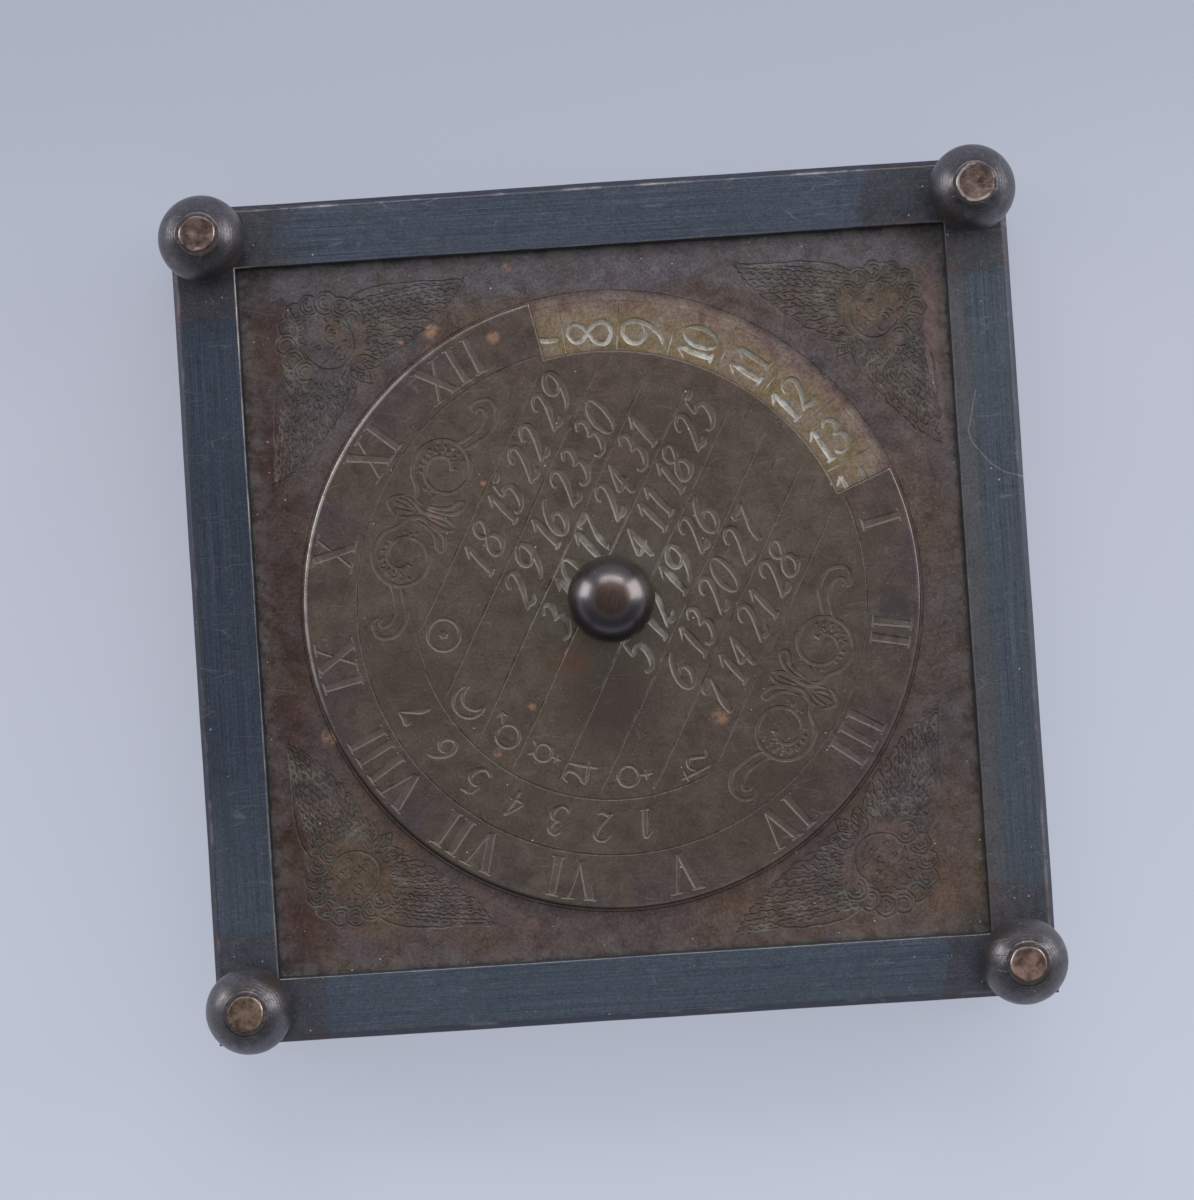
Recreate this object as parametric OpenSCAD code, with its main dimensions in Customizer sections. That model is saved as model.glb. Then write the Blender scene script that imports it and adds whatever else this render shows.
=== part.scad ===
// Perpetual desk calendar: a square plate with a dial on each face, framed by eight blued strips
// and held together by four pins, each with a turned ball on both ends. Millimetres, +Z out of the
// front face, +Y towards the top of the front face. The rear pin ends stand on z = 0.

/* [Plate and frame] */
// Length of each side of the frame
side = 100; // [80:1:130]
// Thickness of the engraved plate
plate_t = 2.0; // [1.2:0.1:4]
// How far the plate's edge stays inside the frame strips' outer edge
plate_inset = 0.2; // [0.1:0.1:0.6]
// Width of a frame strip
strip_w = 7.75; // [6.75:0.25:9]
// Thickness of a frame strip
strip_t = 1.6; // [1:0.1:3]
// Width of the bevel along a strip's outer edge
outer_bevel = 0.7; // [0.2:0.1:0.9]
// Width of the broken corner along a strip's inner edge
inner_bevel = 0.15; // [0.1:0.05:0.4]

/* [Corner balls and pins] */
// Diameter of a corner ball
ball_d = 10.25; // [9:0.25:11]
// Distance from the frame's sides to the axis of a corner pin
corner_inset = 4.4; // [4:0.1:5]
// Height of a ball's centre above its foot
ball_rise = 4.6; // [4:0.1:4.8]
// Diameter of a ball's turned foot
ball_foot_d = 6.4; // [5:0.1:7]
// Height of a ball's turned foot
ball_foot_h = 0.4; // [0.2:0.1:1]
// Diameter of the turned collar on top of a ball
collar_d = 5.4; // [5:0.1:6]
// Height of the collar's flat top above the ball's centre
collar_rise = 4.65; // [4.5:0.05:5]
// Diameter of a corner pin's shank
pin_d = 3.4; // [2:0.1:4]
// Diameter of a corner pin's flattened end
pin_head_d = 4.4; // [4.2:0.1:4.8]
// Height of a corner pin's flattened end
pin_head_h = 0.4; // [0.3:0.1:1]
// Width of the broken corner round a pin's flattened end
pin_head_bevel = 0.15; // [0.05:0.05:0.25]

/* [Discs] */
// Gap between a disc's rim and the frame strips round it
dial_margin = 5.45; // [3:0.05:9]
// Thickness of both discs
disc_t = 1.0; // [0.6:0.1:1.6]
// Angle that the front disc's window takes
front_window_angle = 80; // [20:1:120]
// Direction of the middle of the front disc's window, from +X towards +Y
front_window_dir = 61.8; // [0:0.1:360]
// How far the front window reaches in from the rim
front_window_depth = 6.9; // [3:0.1:10]
// Angle that the rear disc's window takes
rear_window_angle = 30; // [20:1:120]
// Direction of the middle of the rear disc's window, seen from behind
rear_window_dir = 105; // [0:0.1:360]
// How far the rear window reaches in from the rim
rear_window_depth = 14.4; // [5:0.1:18]

/* [Knobs and arbor] */
// Diameter of a knob's ball
knob_d = 10.4; // [9:0.1:11]
// Height of a knob's centre above its disc
knob_rise = 4.1; // [3.8:0.1:4.4]
// Diameter of the foot of a knob
knob_foot_d = 6.8; // [6:0.1:8]
// Height of the foot of a knob
knob_foot_h = 0.3; // [0.2:0.1:0.9]
// Diameter of the tenon of a knob, riveted into its disc
tenon_d = 4.8; // [4.4:0.1:5.8]
// Height of the rear knob's flat top above its centre
rear_knob_top = 4.6; // [4.4:0.05:4.8]
// Diameter of the arbor that both discs turn on
arbor_d = 3.0; // [2:0.1:3.6]
// How far the arbor reaches into the front knob, above the disc
arbor_grip = 6.0; // [3:0.1:7]
// Diameter of the arbor's flattened rear end
arbor_head_d = 4.2; // [4:0.1:4.4]
// Height of the arbor's flattened rear end
arbor_head_h = 0.35; // [0.2:0.05:0.6]
// Diameter of the friction washer under each disc
washer_d = 12; // [8:0.5:20]
// Thickness of the friction washer under each disc
washer_t = 0.2; // [0.1:0.05:0.5]

/* [Fits] */
// Radial clearance where one piece turns in another
run_fit = 0.05; // [0.02:0.01:0.1]
// Radial clearance where a pin is held
held_fit = 0.02; // [0.01:0.01:0.05]
// Gap along the axis under a turning piece
run_gap = 0.1; // [0.05:0.05:0.2]

/* [Hidden] */

STEEL = "#3e4654";
PLATE = "#54484a";
BRASS = "#6a6048";
BALL = "#3c3a3c";
PIN = "#80694c";
WASHER = "#a08a50";

$fn = 96;
pierce = 1;                                           // how far a cutter runs past what it cuts
ball_h = ball_foot_h + ball_rise + collar_rise;       // seat of a ball to its flat top
face_h = strip_t + ball_h + pin_head_h;               // plate face to the end of a corner pin
mid_z = face_h + plate_t / 2;                         // middle of the plate above the rear pin ends
pin_at = side / 2 - corner_inset;                     // a corner pin's distance from both middle lines
disc_r = side / 2 - strip_w - dial_margin;             // radius of both discs
disc_z = washer_t + run_gap;                          // underside of a disc above its plate face
disc_top_z = disc_z + disc_t;                         // face of a disc above its plate face
knob_centre_z = disc_top_z + knob_foot_h + knob_rise; // centre of a knob above its plate face
arbor_top_z = disc_top_z + arbor_grip;                // front end of the arbor above the front face
rear_knob_top_z = knob_centre_z + rear_knob_top;      // flat top of the rear knob above the rear face

// Places children on the plate's front face
module on_front() {
    translate([0, 0, mid_z + plate_t / 2]) children();
}

// Places children on the plate's rear face, turned over about the X axis
module on_rear() {
    translate([0, 0, mid_z - plate_t / 2]) rotate([180, 0, 0]) children();
}

// Cutter for a corner pin at each corner of the square, from z = low to z = high
module pin_bores(low, high) {
    for (x = [-1, 1], y = [-1, 1])
        translate([x * pin_at, y * pin_at, low])
            cylinder(d = pin_d + 2 * held_fit, h = high - low);
}

// Section of a frame strip: its outer edge at x = 0, its underside at y = 0
module strip_section() {
    polygon([
        [0, 0],
        [strip_w, 0],
        [strip_w, strip_t - inner_bevel],
        [strip_w - inner_bevel, strip_t],
        [outer_bevel, strip_t],
        [0, strip_t - outer_bevel]
    ]);
}

// One mitred strip along the lower side of a face, with half a pin hole in each mitre
module strip() {
    difference() {
        intersection() {
            translate([-side / 2, -side / 2, 0])
                rotate([90, 0, 90])
                    linear_extrude(height = side) strip_section();
            translate([0, 0, -pierce])
                linear_extrude(height = strip_t + 2 * pierce)
                    polygon([
                        [-side / 2, -side / 2],
                        [side / 2, -side / 2],
                        [side / 2 - strip_w, strip_w - side / 2],
                        [strip_w - side / 2, strip_w - side / 2]
                    ]);
        }
        pin_bores(-pierce, strip_t + pierce);
    }
}

// A frame strip on the side that lies a number of degrees round from the lower one
module frame_strip(turn) {
    color(STEEL) rotate([0, 0, turn]) strip();
}

// Turned ball on a foot, with a flat collar on top and a bore for its pin
module ball(x, y) {
    color(BALL)
        translate([x * pin_at, y * pin_at, strip_t])
            difference() {
                union() {
                    cylinder(d = ball_foot_d, h = ball_foot_h + pierce);
                    intersection() {
                        translate([0, 0, ball_foot_h + ball_rise]) sphere(d = ball_d);
                        translate([0, 0, ball_foot_h]) cylinder(d = ball_d + pierce, h = ball_rise + collar_rise);
                    }
                    translate([0, 0, ball_foot_h + ball_rise]) cylinder(d = collar_d, h = collar_rise);
                }
                translate([0, 0, -pierce])
                    cylinder(d = pin_d + 2 * held_fit, h = ball_h + 2 * pierce);
            }
}

// Flattened end of a pin, standing on z = 0, with a broken corner
module flat_end(d, h) {
    cylinder(d = d, h = h - pin_head_bevel);
    translate([0, 0, h - pin_head_bevel])
        cylinder(d1 = d, d2 = d - 2 * pin_head_bevel, h = pin_head_bevel);
}

// Pin through plate, strips and both balls of a corner, closed by a flattened end on each
module corner_pin(x, y) {
    color(PIN)
        translate([x * pin_at, y * pin_at, 0]) {
            translate([0, 0, pin_head_h / 2]) cylinder(d = pin_d, h = 2 * mid_z - pin_head_h);
            translate([0, 0, 2 * mid_z - pin_head_h]) flat_end(pin_head_d, pin_head_h);
            translate([0, 0, pin_head_h]) rotate([180, 0, 0]) flat_end(pin_head_d, pin_head_h);
        }
}

// Square plate that carries both dials
module base_plate() {
    color(PLATE)
        difference() {
            translate([plate_inset - side / 2, plate_inset - side / 2, mid_z - plate_t / 2])
                cube([side - 2 * plate_inset, side - 2 * plate_inset, plate_t]);
            pin_bores(0, 2 * mid_z);
            cylinder(d = arbor_d + 2 * run_fit, h = 2 * mid_z);
        }
}

// Disc with a window cut in from the rim
module disc(window_angle, window_dir, window_depth) {
    color(BRASS)
        translate([0, 0, disc_z])
            difference() {
                cylinder(r = disc_r, h = disc_t, $fn = 180);
                translate([0, 0, -pierce])
                    cylinder(d = tenon_d + 2 * held_fit, h = disc_t + 2 * pierce);
                rotate([0, 0, window_dir - window_angle / 2])
                    rotate_extrude(angle = window_angle, $fn = 180)
                        translate([disc_r - window_depth, -pierce])
                            square([window_depth + pierce, disc_t + 2 * pierce]);
            }
}

// Ball of a knob with its foot and its tenon through the disc, not yet bored
module knob_blank() {
    translate([0, 0, disc_z]) cylinder(d = tenon_d, h = disc_t + knob_foot_h);
    translate([0, 0, disc_top_z]) cylinder(d = knob_foot_d, h = knob_foot_h + pierce / 2);
    intersection() {
        translate([0, 0, knob_centre_z]) sphere(d = knob_d);
        translate([0, 0, disc_top_z + knob_foot_h]) cylinder(d = knob_d + pierce, h = knob_d);
    }
}

// Plain polished knob that holds the arbor in a blind bore
module front_knob() {
    color(BALL)
        on_front()
            difference() {
                knob_blank();
                translate([0, 0, -pierce]) cylinder(d = arbor_d + 2 * held_fit, h = arbor_top_z + pierce);
            }
}

// Flat-topped knob, bored through so that it turns on the arbor
module rear_knob() {
    color(BALL)
        on_rear()
            difference() {
                knob_blank();
                translate([0, 0, rear_knob_top_z]) cylinder(d = knob_d, h = knob_d);
                cylinder(d = arbor_d + 2 * run_fit, h = rear_knob_top_z + pierce);
            }
}

// Arbor from the front knob through plate and rear dial to its flattened end
module arbor() {
    shank_h = arbor_top_z + plate_t + rear_knob_top_z + run_gap;
    color(PIN)
        on_rear() {
            translate([0, 0, rear_knob_top_z + run_gap - shank_h]) cylinder(d = arbor_d, h = shank_h + arbor_head_h / 2);
            translate([0, 0, rear_knob_top_z + run_gap]) flat_end(arbor_head_d, arbor_head_h);
        }
}

// Thin washer between a disc and the plate
module washer() {
    color(WASHER)
        difference() {
            cylinder(d = washer_d, h = washer_t);
            translate([0, 0, -pierce]) cylinder(d = arbor_d + 2 * run_fit, h = washer_t + 2 * pierce);
        }
}

module front_disc() {
    on_front() disc(front_window_angle, front_window_dir, front_window_depth);
}

module rear_disc() {
    on_rear() disc(rear_window_angle, rear_window_dir, rear_window_depth);
}

base_plate();
on_front() frame_strip(180);  // front_strip_top
on_front() frame_strip(0);  // front_strip_bottom
on_front() frame_strip(270);  // front_strip_left
on_front() frame_strip(90);  // front_strip_right
on_rear() frame_strip(0);  // rear_strip_top
on_rear() frame_strip(180);  // rear_strip_bottom
on_rear() frame_strip(270);  // rear_strip_left
on_rear() frame_strip(90);  // rear_strip_right
on_front() ball(-1, 1);  // front_ball_upper_left
on_front() ball(1, 1);  // front_ball_upper_right
on_front() ball(-1, -1);  // front_ball_lower_left
on_front() ball(1, -1);  // front_ball_lower_right
on_rear() ball(-1, -1);  // rear_ball_upper_left
on_rear() ball(1, -1);  // rear_ball_upper_right
on_rear() ball(-1, 1);  // rear_ball_lower_left
on_rear() ball(1, 1);  // rear_ball_lower_right
corner_pin(-1, 1);  // corner_pin_upper_left
corner_pin(1, 1);  // corner_pin_upper_right
corner_pin(-1, -1);  // corner_pin_lower_left
corner_pin(1, -1);  // corner_pin_lower_right
front_disc();
front_knob();
arbor();
on_front() washer();  // front_washer
rear_disc();
rear_knob();
on_rear() washer();  // rear_washer
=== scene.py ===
# %% [markdown]
# # A perpetual desk calendar
# A square metal plate with a turning disc on each face. The plate and the discs are engraved by hand, blued
# strips frame both faces, and turned balls stand at the corners on pins that go right through. This lesson
# dresses the CAD frame with engraved metal: real V-shaped cuts in the mesh, turned parts from profiles, and
# aged finishes from nodes.

# %% Load the frame
import math
import random

import bmesh
import bpy
import numpy as np
from mathutils import Matrix, Vector
from mathutils.geometry import delaunay_2d_cdt


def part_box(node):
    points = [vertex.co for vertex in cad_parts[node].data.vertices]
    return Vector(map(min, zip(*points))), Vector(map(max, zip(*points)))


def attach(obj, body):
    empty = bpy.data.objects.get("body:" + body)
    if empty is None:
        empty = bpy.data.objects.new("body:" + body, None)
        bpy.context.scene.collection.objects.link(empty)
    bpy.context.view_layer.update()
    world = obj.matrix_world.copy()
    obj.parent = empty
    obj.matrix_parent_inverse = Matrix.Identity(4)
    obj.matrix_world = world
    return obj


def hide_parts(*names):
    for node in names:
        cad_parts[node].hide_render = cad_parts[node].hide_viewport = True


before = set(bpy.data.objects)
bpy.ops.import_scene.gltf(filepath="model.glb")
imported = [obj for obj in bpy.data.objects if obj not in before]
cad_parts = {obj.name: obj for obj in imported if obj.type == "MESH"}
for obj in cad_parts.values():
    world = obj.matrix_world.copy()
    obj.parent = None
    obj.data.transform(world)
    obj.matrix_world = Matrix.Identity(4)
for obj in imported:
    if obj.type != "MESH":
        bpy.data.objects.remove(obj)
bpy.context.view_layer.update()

MM = 0.001
TURN = 2 * math.pi

# %% [markdown]
# ## Sizes
# The main sizes are read from the CAD nodes, so that each piece sits where the CAD says. The work is done in
# millimetres and turned into metres only when a mesh is made.

# %% Read the sizes
def corners(node):
    low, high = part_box(node)
    return low / MM, high / MM


plate_low, plate_high = corners("base_plate")
disc_low, disc_high = corners("front_disc")
rear_disc_low, rear_disc_high = corners("rear_disc")
strip_low, strip_high = corners("front_strip_bottom")
ball_low, ball_high = corners("front_ball_upper_right")
pin_low, pin_high = corners("corner_pin_upper_right")
knob_low, knob_high = corners("front_knob")
rear_knob_low = corners("rear_knob")[0]
arbor_low, arbor_high = corners("arbor")

MID_Z = (plate_low.z + plate_high.z) / 2
PLATE_HALF = plate_high.x
PLATE_T = plate_high.z - plate_low.z
FRAME_HALF = strip_high.x
STRIP_W = strip_high.y - strip_low.y
STRIP_T = strip_high.z - strip_low.z
DISC_R = -disc_low.x
BALL_R = (ball_high.x - ball_low.x) / 2
PIN_AT = (ball_high.x + ball_low.x) / 2
PIN_HEAD_R = (pin_high.x - pin_low.x) / 2
KNOB_R = (knob_high.x - knob_low.x) / 2
KNOB_TOP = knob_high.z - plate_high.z
ARBOR_HEAD_R = (arbor_high.x - arbor_low.x) / 2
print(f"plate {2 * PLATE_HALF:.1f}, disc {2 * DISC_R:.1f}, ball {2 * BALL_R:.2f}, middle {MID_Z:.2f} mm")

# %% [markdown]
# ## Camera, floor and light
# The calendar lies on its rear pins, so the camera looks straight down at it, a little turned, through a long
# lens. Three soft boxes stand in an arch above the top edge: they draw the bright arch in the polished knob
# and rake across the cuts. The sky between them is dim, which keeps flat metal dark, as in a studio tent.

# %% Make the camera
LENS = 114
CAMERA_AT = (2.2, -12.8, 467.5)
CAMERA_ROLL = -3.74
CAMERA_TILT = 1.596
CAMERA_PAN = 0.605

camera_data = bpy.data.cameras.new("camera")
camera_data.lens = LENS
camera_data.clip_start = 0.01
camera = bpy.data.objects.new("camera", camera_data)
bpy.context.scene.collection.objects.link(camera)
spin = [Matrix.Rotation(math.radians(angle), 4, axis)
        for angle, axis in ((CAMERA_ROLL, "Z"), (CAMERA_TILT, "X"), (CAMERA_PAN, "Y"))]
camera.matrix_world = Matrix.Translation(Vector(CAMERA_AT) * MM) @ spin[0] @ spin[1] @ spin[2]
bpy.context.scene.camera = camera
bpy.context.scene.view_settings.view_transform = "Standard"
print("camera at", CAMERA_AT, "mm")

# %% [markdown]
# ## A helper for node trees
# A surface here is a sum of many small masks. Wiring each node by hand takes four lines, so this helper adds
# a node and links it in one call, and names the sums that come up most.

# %% Wire shader nodes with a small helper
class Wiring:
    """Adds nodes to a tree. An input has a name or number, and is a value or another node's output."""

    def __init__(self, tree):
        self.tree = tree
        self.place = None  # where the patterns are looked up, if the tree has such a place

    def add(self, kind, inputs=None, **settings):
        made = self.tree.nodes.new("ShaderNode" + kind)
        for key, value in settings.items():
            setattr(made, key, value)
        self.give(made, inputs or {})
        return made

    def give(self, made, inputs):
        for key, value in inputs.items():
            if isinstance(value, bpy.types.NodeSocket):
                self.tree.links.new(value, made.inputs[key])
            else:
                made.inputs[key].default_value = value

    def math(self, operation, *values, clamp=False):
        return self.add("Math", dict(enumerate(values)), operation=operation, use_clamp=clamp).outputs[0]

    def chain(self, operation, first, *others):
        for other in others:
            first = self.math(operation, first, other)
        return first

    def times(self, *values):
        return self.chain("MULTIPLY", *values)

    def plus(self, *values):
        return self.chain("ADD", *values)

    def most(self, *values):
        return self.chain("MAXIMUM", *values)

    def minus(self, first, second):
        return self.math("SUBTRACT", first, second)

    def unsigned(self, value):
        return self.math("ABSOLUTE", value)

    def fade(self, value, low, high, to_low=0.0, to_high=1.0, smooth=False):
        return self.add("MapRange", {"Value": value, "From Min": low, "From Max": high, "To Min": to_low,
                                     "To Max": to_high},
                        interpolation_type="SMOOTHSTEP" if smooth else "LINEAR").outputs[0]

    def blend(self, factor, first, second, how="MIX"):
        inputs = {0: factor, 6: opaque(first), 7: opaque(second)}
        return self.add("Mix", inputs, data_type="RGBA", blend_type=how).outputs[2]

    def noise(self, place, scale, detail=4.0, roughness=0.55, distortion=0.0):
        inputs = {"Vector": place, "Scale": scale, "Detail": detail, "Roughness": roughness,
                  "Distortion": distortion}
        return self.add("TexNoise", inputs).outputs["Fac"]

    def cloud(self, pattern, *bounds, **more):
        """A fade over noise at self.place; the pattern is its scale, detail, roughness and distortion."""
        return self.fade(self.noise(self.place, *pattern), *bounds, **more)

    def point(self, x, y, z=0.0):
        return self.add("CombineXYZ", {0: x, 1: y, 2: z}).outputs[0]

    def vector(self, operation, *values):
        made = self.add("VectorMath", dict(enumerate(values)), operation=operation)
        return made.outputs["Value" if operation in ("LENGTH", "DISTANCE", "DOT_PRODUCT") else "Vector"]


def opaque(colour):
    return (*colour, 1.0) if isinstance(colour, tuple) and len(colour) == 3 else colour

# %% [markdown]
# ## Light
# Metal shows mostly what it reflects. Area lamps leave soft, broad highlights on it, where point lamps would
# leave hard dots in the knob. The sky is a blend of plain colours, so it needs no image.

# %% Light the scene
BACKDROP = (0.312, 0.344, 0.416)
SKY_ABOVE = (0.50, 0.47, 0.46)
SKY_FAR = (0.36, 0.37, 0.42)
SKY_NEAR = (0.10, 0.105, 0.12)
LIGHT_DISTANCE = 0.6
SOFT_BOXES = {  # degrees from straight up, degrees round from +X, width and height in metres, brightness
    "box_top": (48, 84, 0.58, 0.24, 3.2),
    "box_left": (84, 158, 0.30, 0.50, 3.4),
    "box_right": (67, 18, 0.40, 0.44, 2.8),
}


def soft_box(name, from_up, around, width, height, brightness):
    lamp = bpy.data.lights.new(name, "AREA")
    lamp.shape = "RECTANGLE"
    lamp.size = width
    lamp.size_y = height
    lamp.energy = brightness * math.pi * width * height
    box = bpy.data.objects.new(name, lamp)
    tilt, bearing = math.radians(from_up), math.radians(around)
    away = Vector((math.sin(tilt) * math.cos(bearing), math.sin(tilt) * math.sin(bearing), math.cos(tilt)))
    box.location = away * LIGHT_DISTANCE
    box.rotation_euler = away.to_track_quat("Z", "Y").to_euler()
    box.visible_camera = False
    bpy.context.scene.collection.objects.link(box)


for box_name, setting in SOFT_BOXES.items():
    soft_box(box_name, *setting)

world = bpy.data.worlds.new("studio")
world.use_nodes = True
world.node_tree.nodes.clear()
bpy.context.scene.world = world
sky = Wiring(world.node_tree)
direction = sky.add("TexCoord").outputs["Generated"]
axes = sky.add("SeparateXYZ", {0: direction}).outputs
side_sky = sky.blend(sky.fade(axes["Y"], -0.65, 0.35, smooth=True), SKY_NEAR, SKY_FAR)
dome = sky.blend(sky.fade(axes["Z"], 0.45, 0.92, smooth=True), side_sky, SKY_ABOVE)
studio = sky.blend(sky.fade(axes["Z"], 0.03, 0.10, smooth=True), BACKDROP, dome)
shade = sky.add("Background", {"Color": studio, "Strength": 1.0})
sky.add("OutputWorld", {"Surface": shade.outputs[0]})
print("lights:", ", ".join(SOFT_BOXES))

# %% [markdown]
# ## Floor
# A sheet of paper under the calendar would catch a shadow and reflect in the balls. The floor glows with the
# colour of the backdrop where the camera looks at it, so that its far edge melts away, and takes real light
# for the share that has to show the shadow.

# %% Lay the floor
FLOOR_HALF = 3.0
FLOOR_SHADOW_SHARE = 0.42
LAMP_LIT_FLOOR = (0.22, 0.56)  # the lamps' light fades out here, before the left box meets the floor
FLOOR_MATT = (0.556, 0.594, 0.706)
FLOOR_NEAR = (0.646, 0.697, 0.832)
FLOOR_MIDDLE = (0.540, 0.566, 0.675)
FLOOR_FAR = (0.358, 0.397, 0.489)

floor_mesh = bpy.data.meshes.new("floor")
floor_mesh.from_pydata([(x, y, 0) for x, y in ((-FLOOR_HALF, -FLOOR_HALF), (FLOOR_HALF, -FLOOR_HALF),
                                               (FLOOR_HALF, FLOOR_HALF), (-FLOOR_HALF, FLOOR_HALF))], [],
                       [(0, 1, 2, 3)])
floor = bpy.data.objects.new("floor", floor_mesh)
bpy.context.scene.collection.objects.link(floor)
floor_material = bpy.data.materials.new("pale_floor")
floor_material.use_nodes = True
floor_material.node_tree.nodes.clear()
ground = Wiring(floor_material.node_tree)
spot_below = ground.add("TexCoord").outputs["Object"]
depth = ground.add("SeparateXYZ", {0: spot_below}).outputs["Y"]
away = ground.vector("LENGTH", spot_below)
melted = ground.fade(away, 0.15, 1.5, smooth=True)
pale = ground.blend(ground.fade(depth, -0.07, 0.02), FLOOR_NEAR, FLOOR_MIDDLE)
pale = ground.blend(ground.fade(depth, 0.02, 0.08, smooth=True), pale, FLOOR_FAR)
pale = ground.blend(melted, pale, BACKDROP)
matt = ground.add("BsdfDiffuse", {"Color": opaque(FLOOR_MATT)})
glow = ground.add("Emission", {"Color": pale, "Strength": 1.0})
rays = ground.add("LightPath").outputs
looking = ground.most(rays["Is Camera Ray"], rays["Is Glossy Ray"], rays["Is Transmission Ray"])
own_light = ground.fade(away, *LAMP_LIT_FLOOR, 1 - FLOOR_SHADOW_SHARE, 1, smooth=True)
share = ground.times(looking, own_light)
mixed = ground.add("MixShader", {0: share, 1: matt.outputs[0], 2: glow.outputs[0]})
ground.add("OutputMaterial", {"Surface": mixed.outputs[0]})
floor_mesh.materials.append(floor_material)
print("floor laid")

# %% [markdown]
# ## Engraving
# A burin ploughs a V: the wider the cut, the deeper it goes, and a stem that is cleared out has a flat floor.
# Each cut here is a centre line with a half width at every point. Its two edges and its bottom line become
# lines of the mesh, and each mesh vertex then sinks by the depth that the cut has there.

# %% Describe a cut
CUT_SLOPE = 1.0
CUT_FLOOR = 0.13
FINEST = 0.012
UNTOUCHED = 0.0005
SOFT_SLOPE = 0.6
STROKE_STEP = 0.3  # mm between points of a swelling cut; fine and straight ones need fewer
HAIR_STEP = 0.8
STEM_STEP = 0.9
RING_STEP = 0.7
hand = random.Random(43)


class Cut:
    """A cut in millimetres: points along its middle, half width at each, and how its ends look."""

    def __init__(self, points, half, closed=False, blunt=False, slope=CUT_SLOPE):
        self.points = np.array(points, float)
        self.half = np.array(half, float)
        self.closed = closed
        self.blunt = blunt
        self.slope = slope

    def normals(self):
        p = self.points
        if self.closed:
            along = np.roll(p, -1, 0) - np.roll(p, 1, 0)
        else:
            along = np.gradient(p, axis=0)
        along /= np.maximum(np.linalg.norm(along, axis=1), 1e-9)[:, None]
        return np.stack([-along[:, 1], along[:, 0]], 1)


def smooth_line(points, step, closed=False):
    """Evenly spaced points of a smooth curve through the given ones, in every column."""
    p = np.array(points, float)
    if closed:
        p = np.vstack([p[-1:], p, p[:2]])
    else:
        p = np.vstack([2 * p[0] - p[1], p, 2 * p[-1] - p[-2]])
    made = []
    for a, b, c, d in zip(p, p[1:], p[2:], p[3:]):
        count = max(1, math.ceil(np.linalg.norm((c - b)[:2]) / step))
        t = (np.arange(count) / count)[:, None]
        made.append(0.5 * (2 * b + (c - a) * t + (2 * a - 5 * b + 4 * c - d) * t ** 2
                           + (3 * b - a - 3 * c + d) * t ** 3))
    if not closed:
        made.append(p[-2:-1])
    return np.vstack(made)


def burin(points, nib, step=STROKE_STEP, closed=False, slope=CUT_SLOPE):
    """A swelling cut through (x, y, weight) points; an open one runs out to a hair at both ends."""
    line = smooth_line(points, step, closed)
    half = np.maximum(line[:, 2] * nib / 2, FINEST)
    if not closed:
        half[0] = half[-1] = FINEST
    return Cut(line[:, :2], half, closed, slope=slope)


def hair(points, width, step=HAIR_STEP):
    """A fine cut of one weight through (x, y) points."""
    return burin([(x, y, 1.0) for x, y in points], width, step)


def stem(start, end, start_width, end_width=None):
    """A cleared stroke with square ends, as in the thick parts of a capital."""
    end_width = start_width if end_width is None else end_width
    length = math.dist(start, end)
    count = max(2, math.ceil(length / STEM_STEP) + 1)
    t = np.linspace(0, 1, count)[:, None]
    line = np.array(start) * (1 - t) + np.array(end) * t
    return Cut(line, start_width / 2 + (end_width - start_width) / 2 * t[:, 0], blunt=True, slope=SOFT_SLOPE)


def ring_cut(radius, width, start=0.0, end=360.0, wander=0.0):
    """A compass line about the middle, between two bearings in degrees."""
    whole = end - start >= 360
    count = max(8, math.ceil(math.radians(end - start) * radius / RING_STEP))
    angle = np.radians(np.linspace(start, end, count, endpoint=not whole))
    reach = radius + wander * np.sin(3 * angle + radius)
    half = np.full(count, width / 2)
    if not whole:
        half[0] = half[-1] = FINEST
    return Cut(np.stack([reach * np.cos(angle), reach * np.sin(angle)], 1), half, closed=whole)


def placed(points, at, turn=0.0, scale=1.0, slant=0.0):
    """(x, y, weight) points of a drawing made at unit size, moved to where they belong."""
    p = np.array(points, float)
    x, y = (p[:, 0] + slant * p[:, 1]) * scale, p[:, 1] * scale
    c, s = math.cos(turn), math.sin(turn)
    moved = p.copy()
    moved[:, 0], moved[:, 1] = at[0] + c * x - s * y, at[1] + s * x + c * y
    return moved


def polar(radius, degrees):
    return radius * math.cos(math.radians(degrees)), radius * math.sin(math.radians(degrees))


print(f"a cut wider than {2 * CUT_FLOOR / CUT_SLOPE:.2f} mm has a flat floor, {CUT_FLOOR} mm deep")


# %% [markdown]
# ## Figures and signs
# The figures swell and thin as a burin makes them. Each stroke is a row of (x, y, weight) in a box one unit
# high. The capitals I, V and X are stems and hairlines with serifs, and the day signs are the old ones of the
# seven planets.

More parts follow.
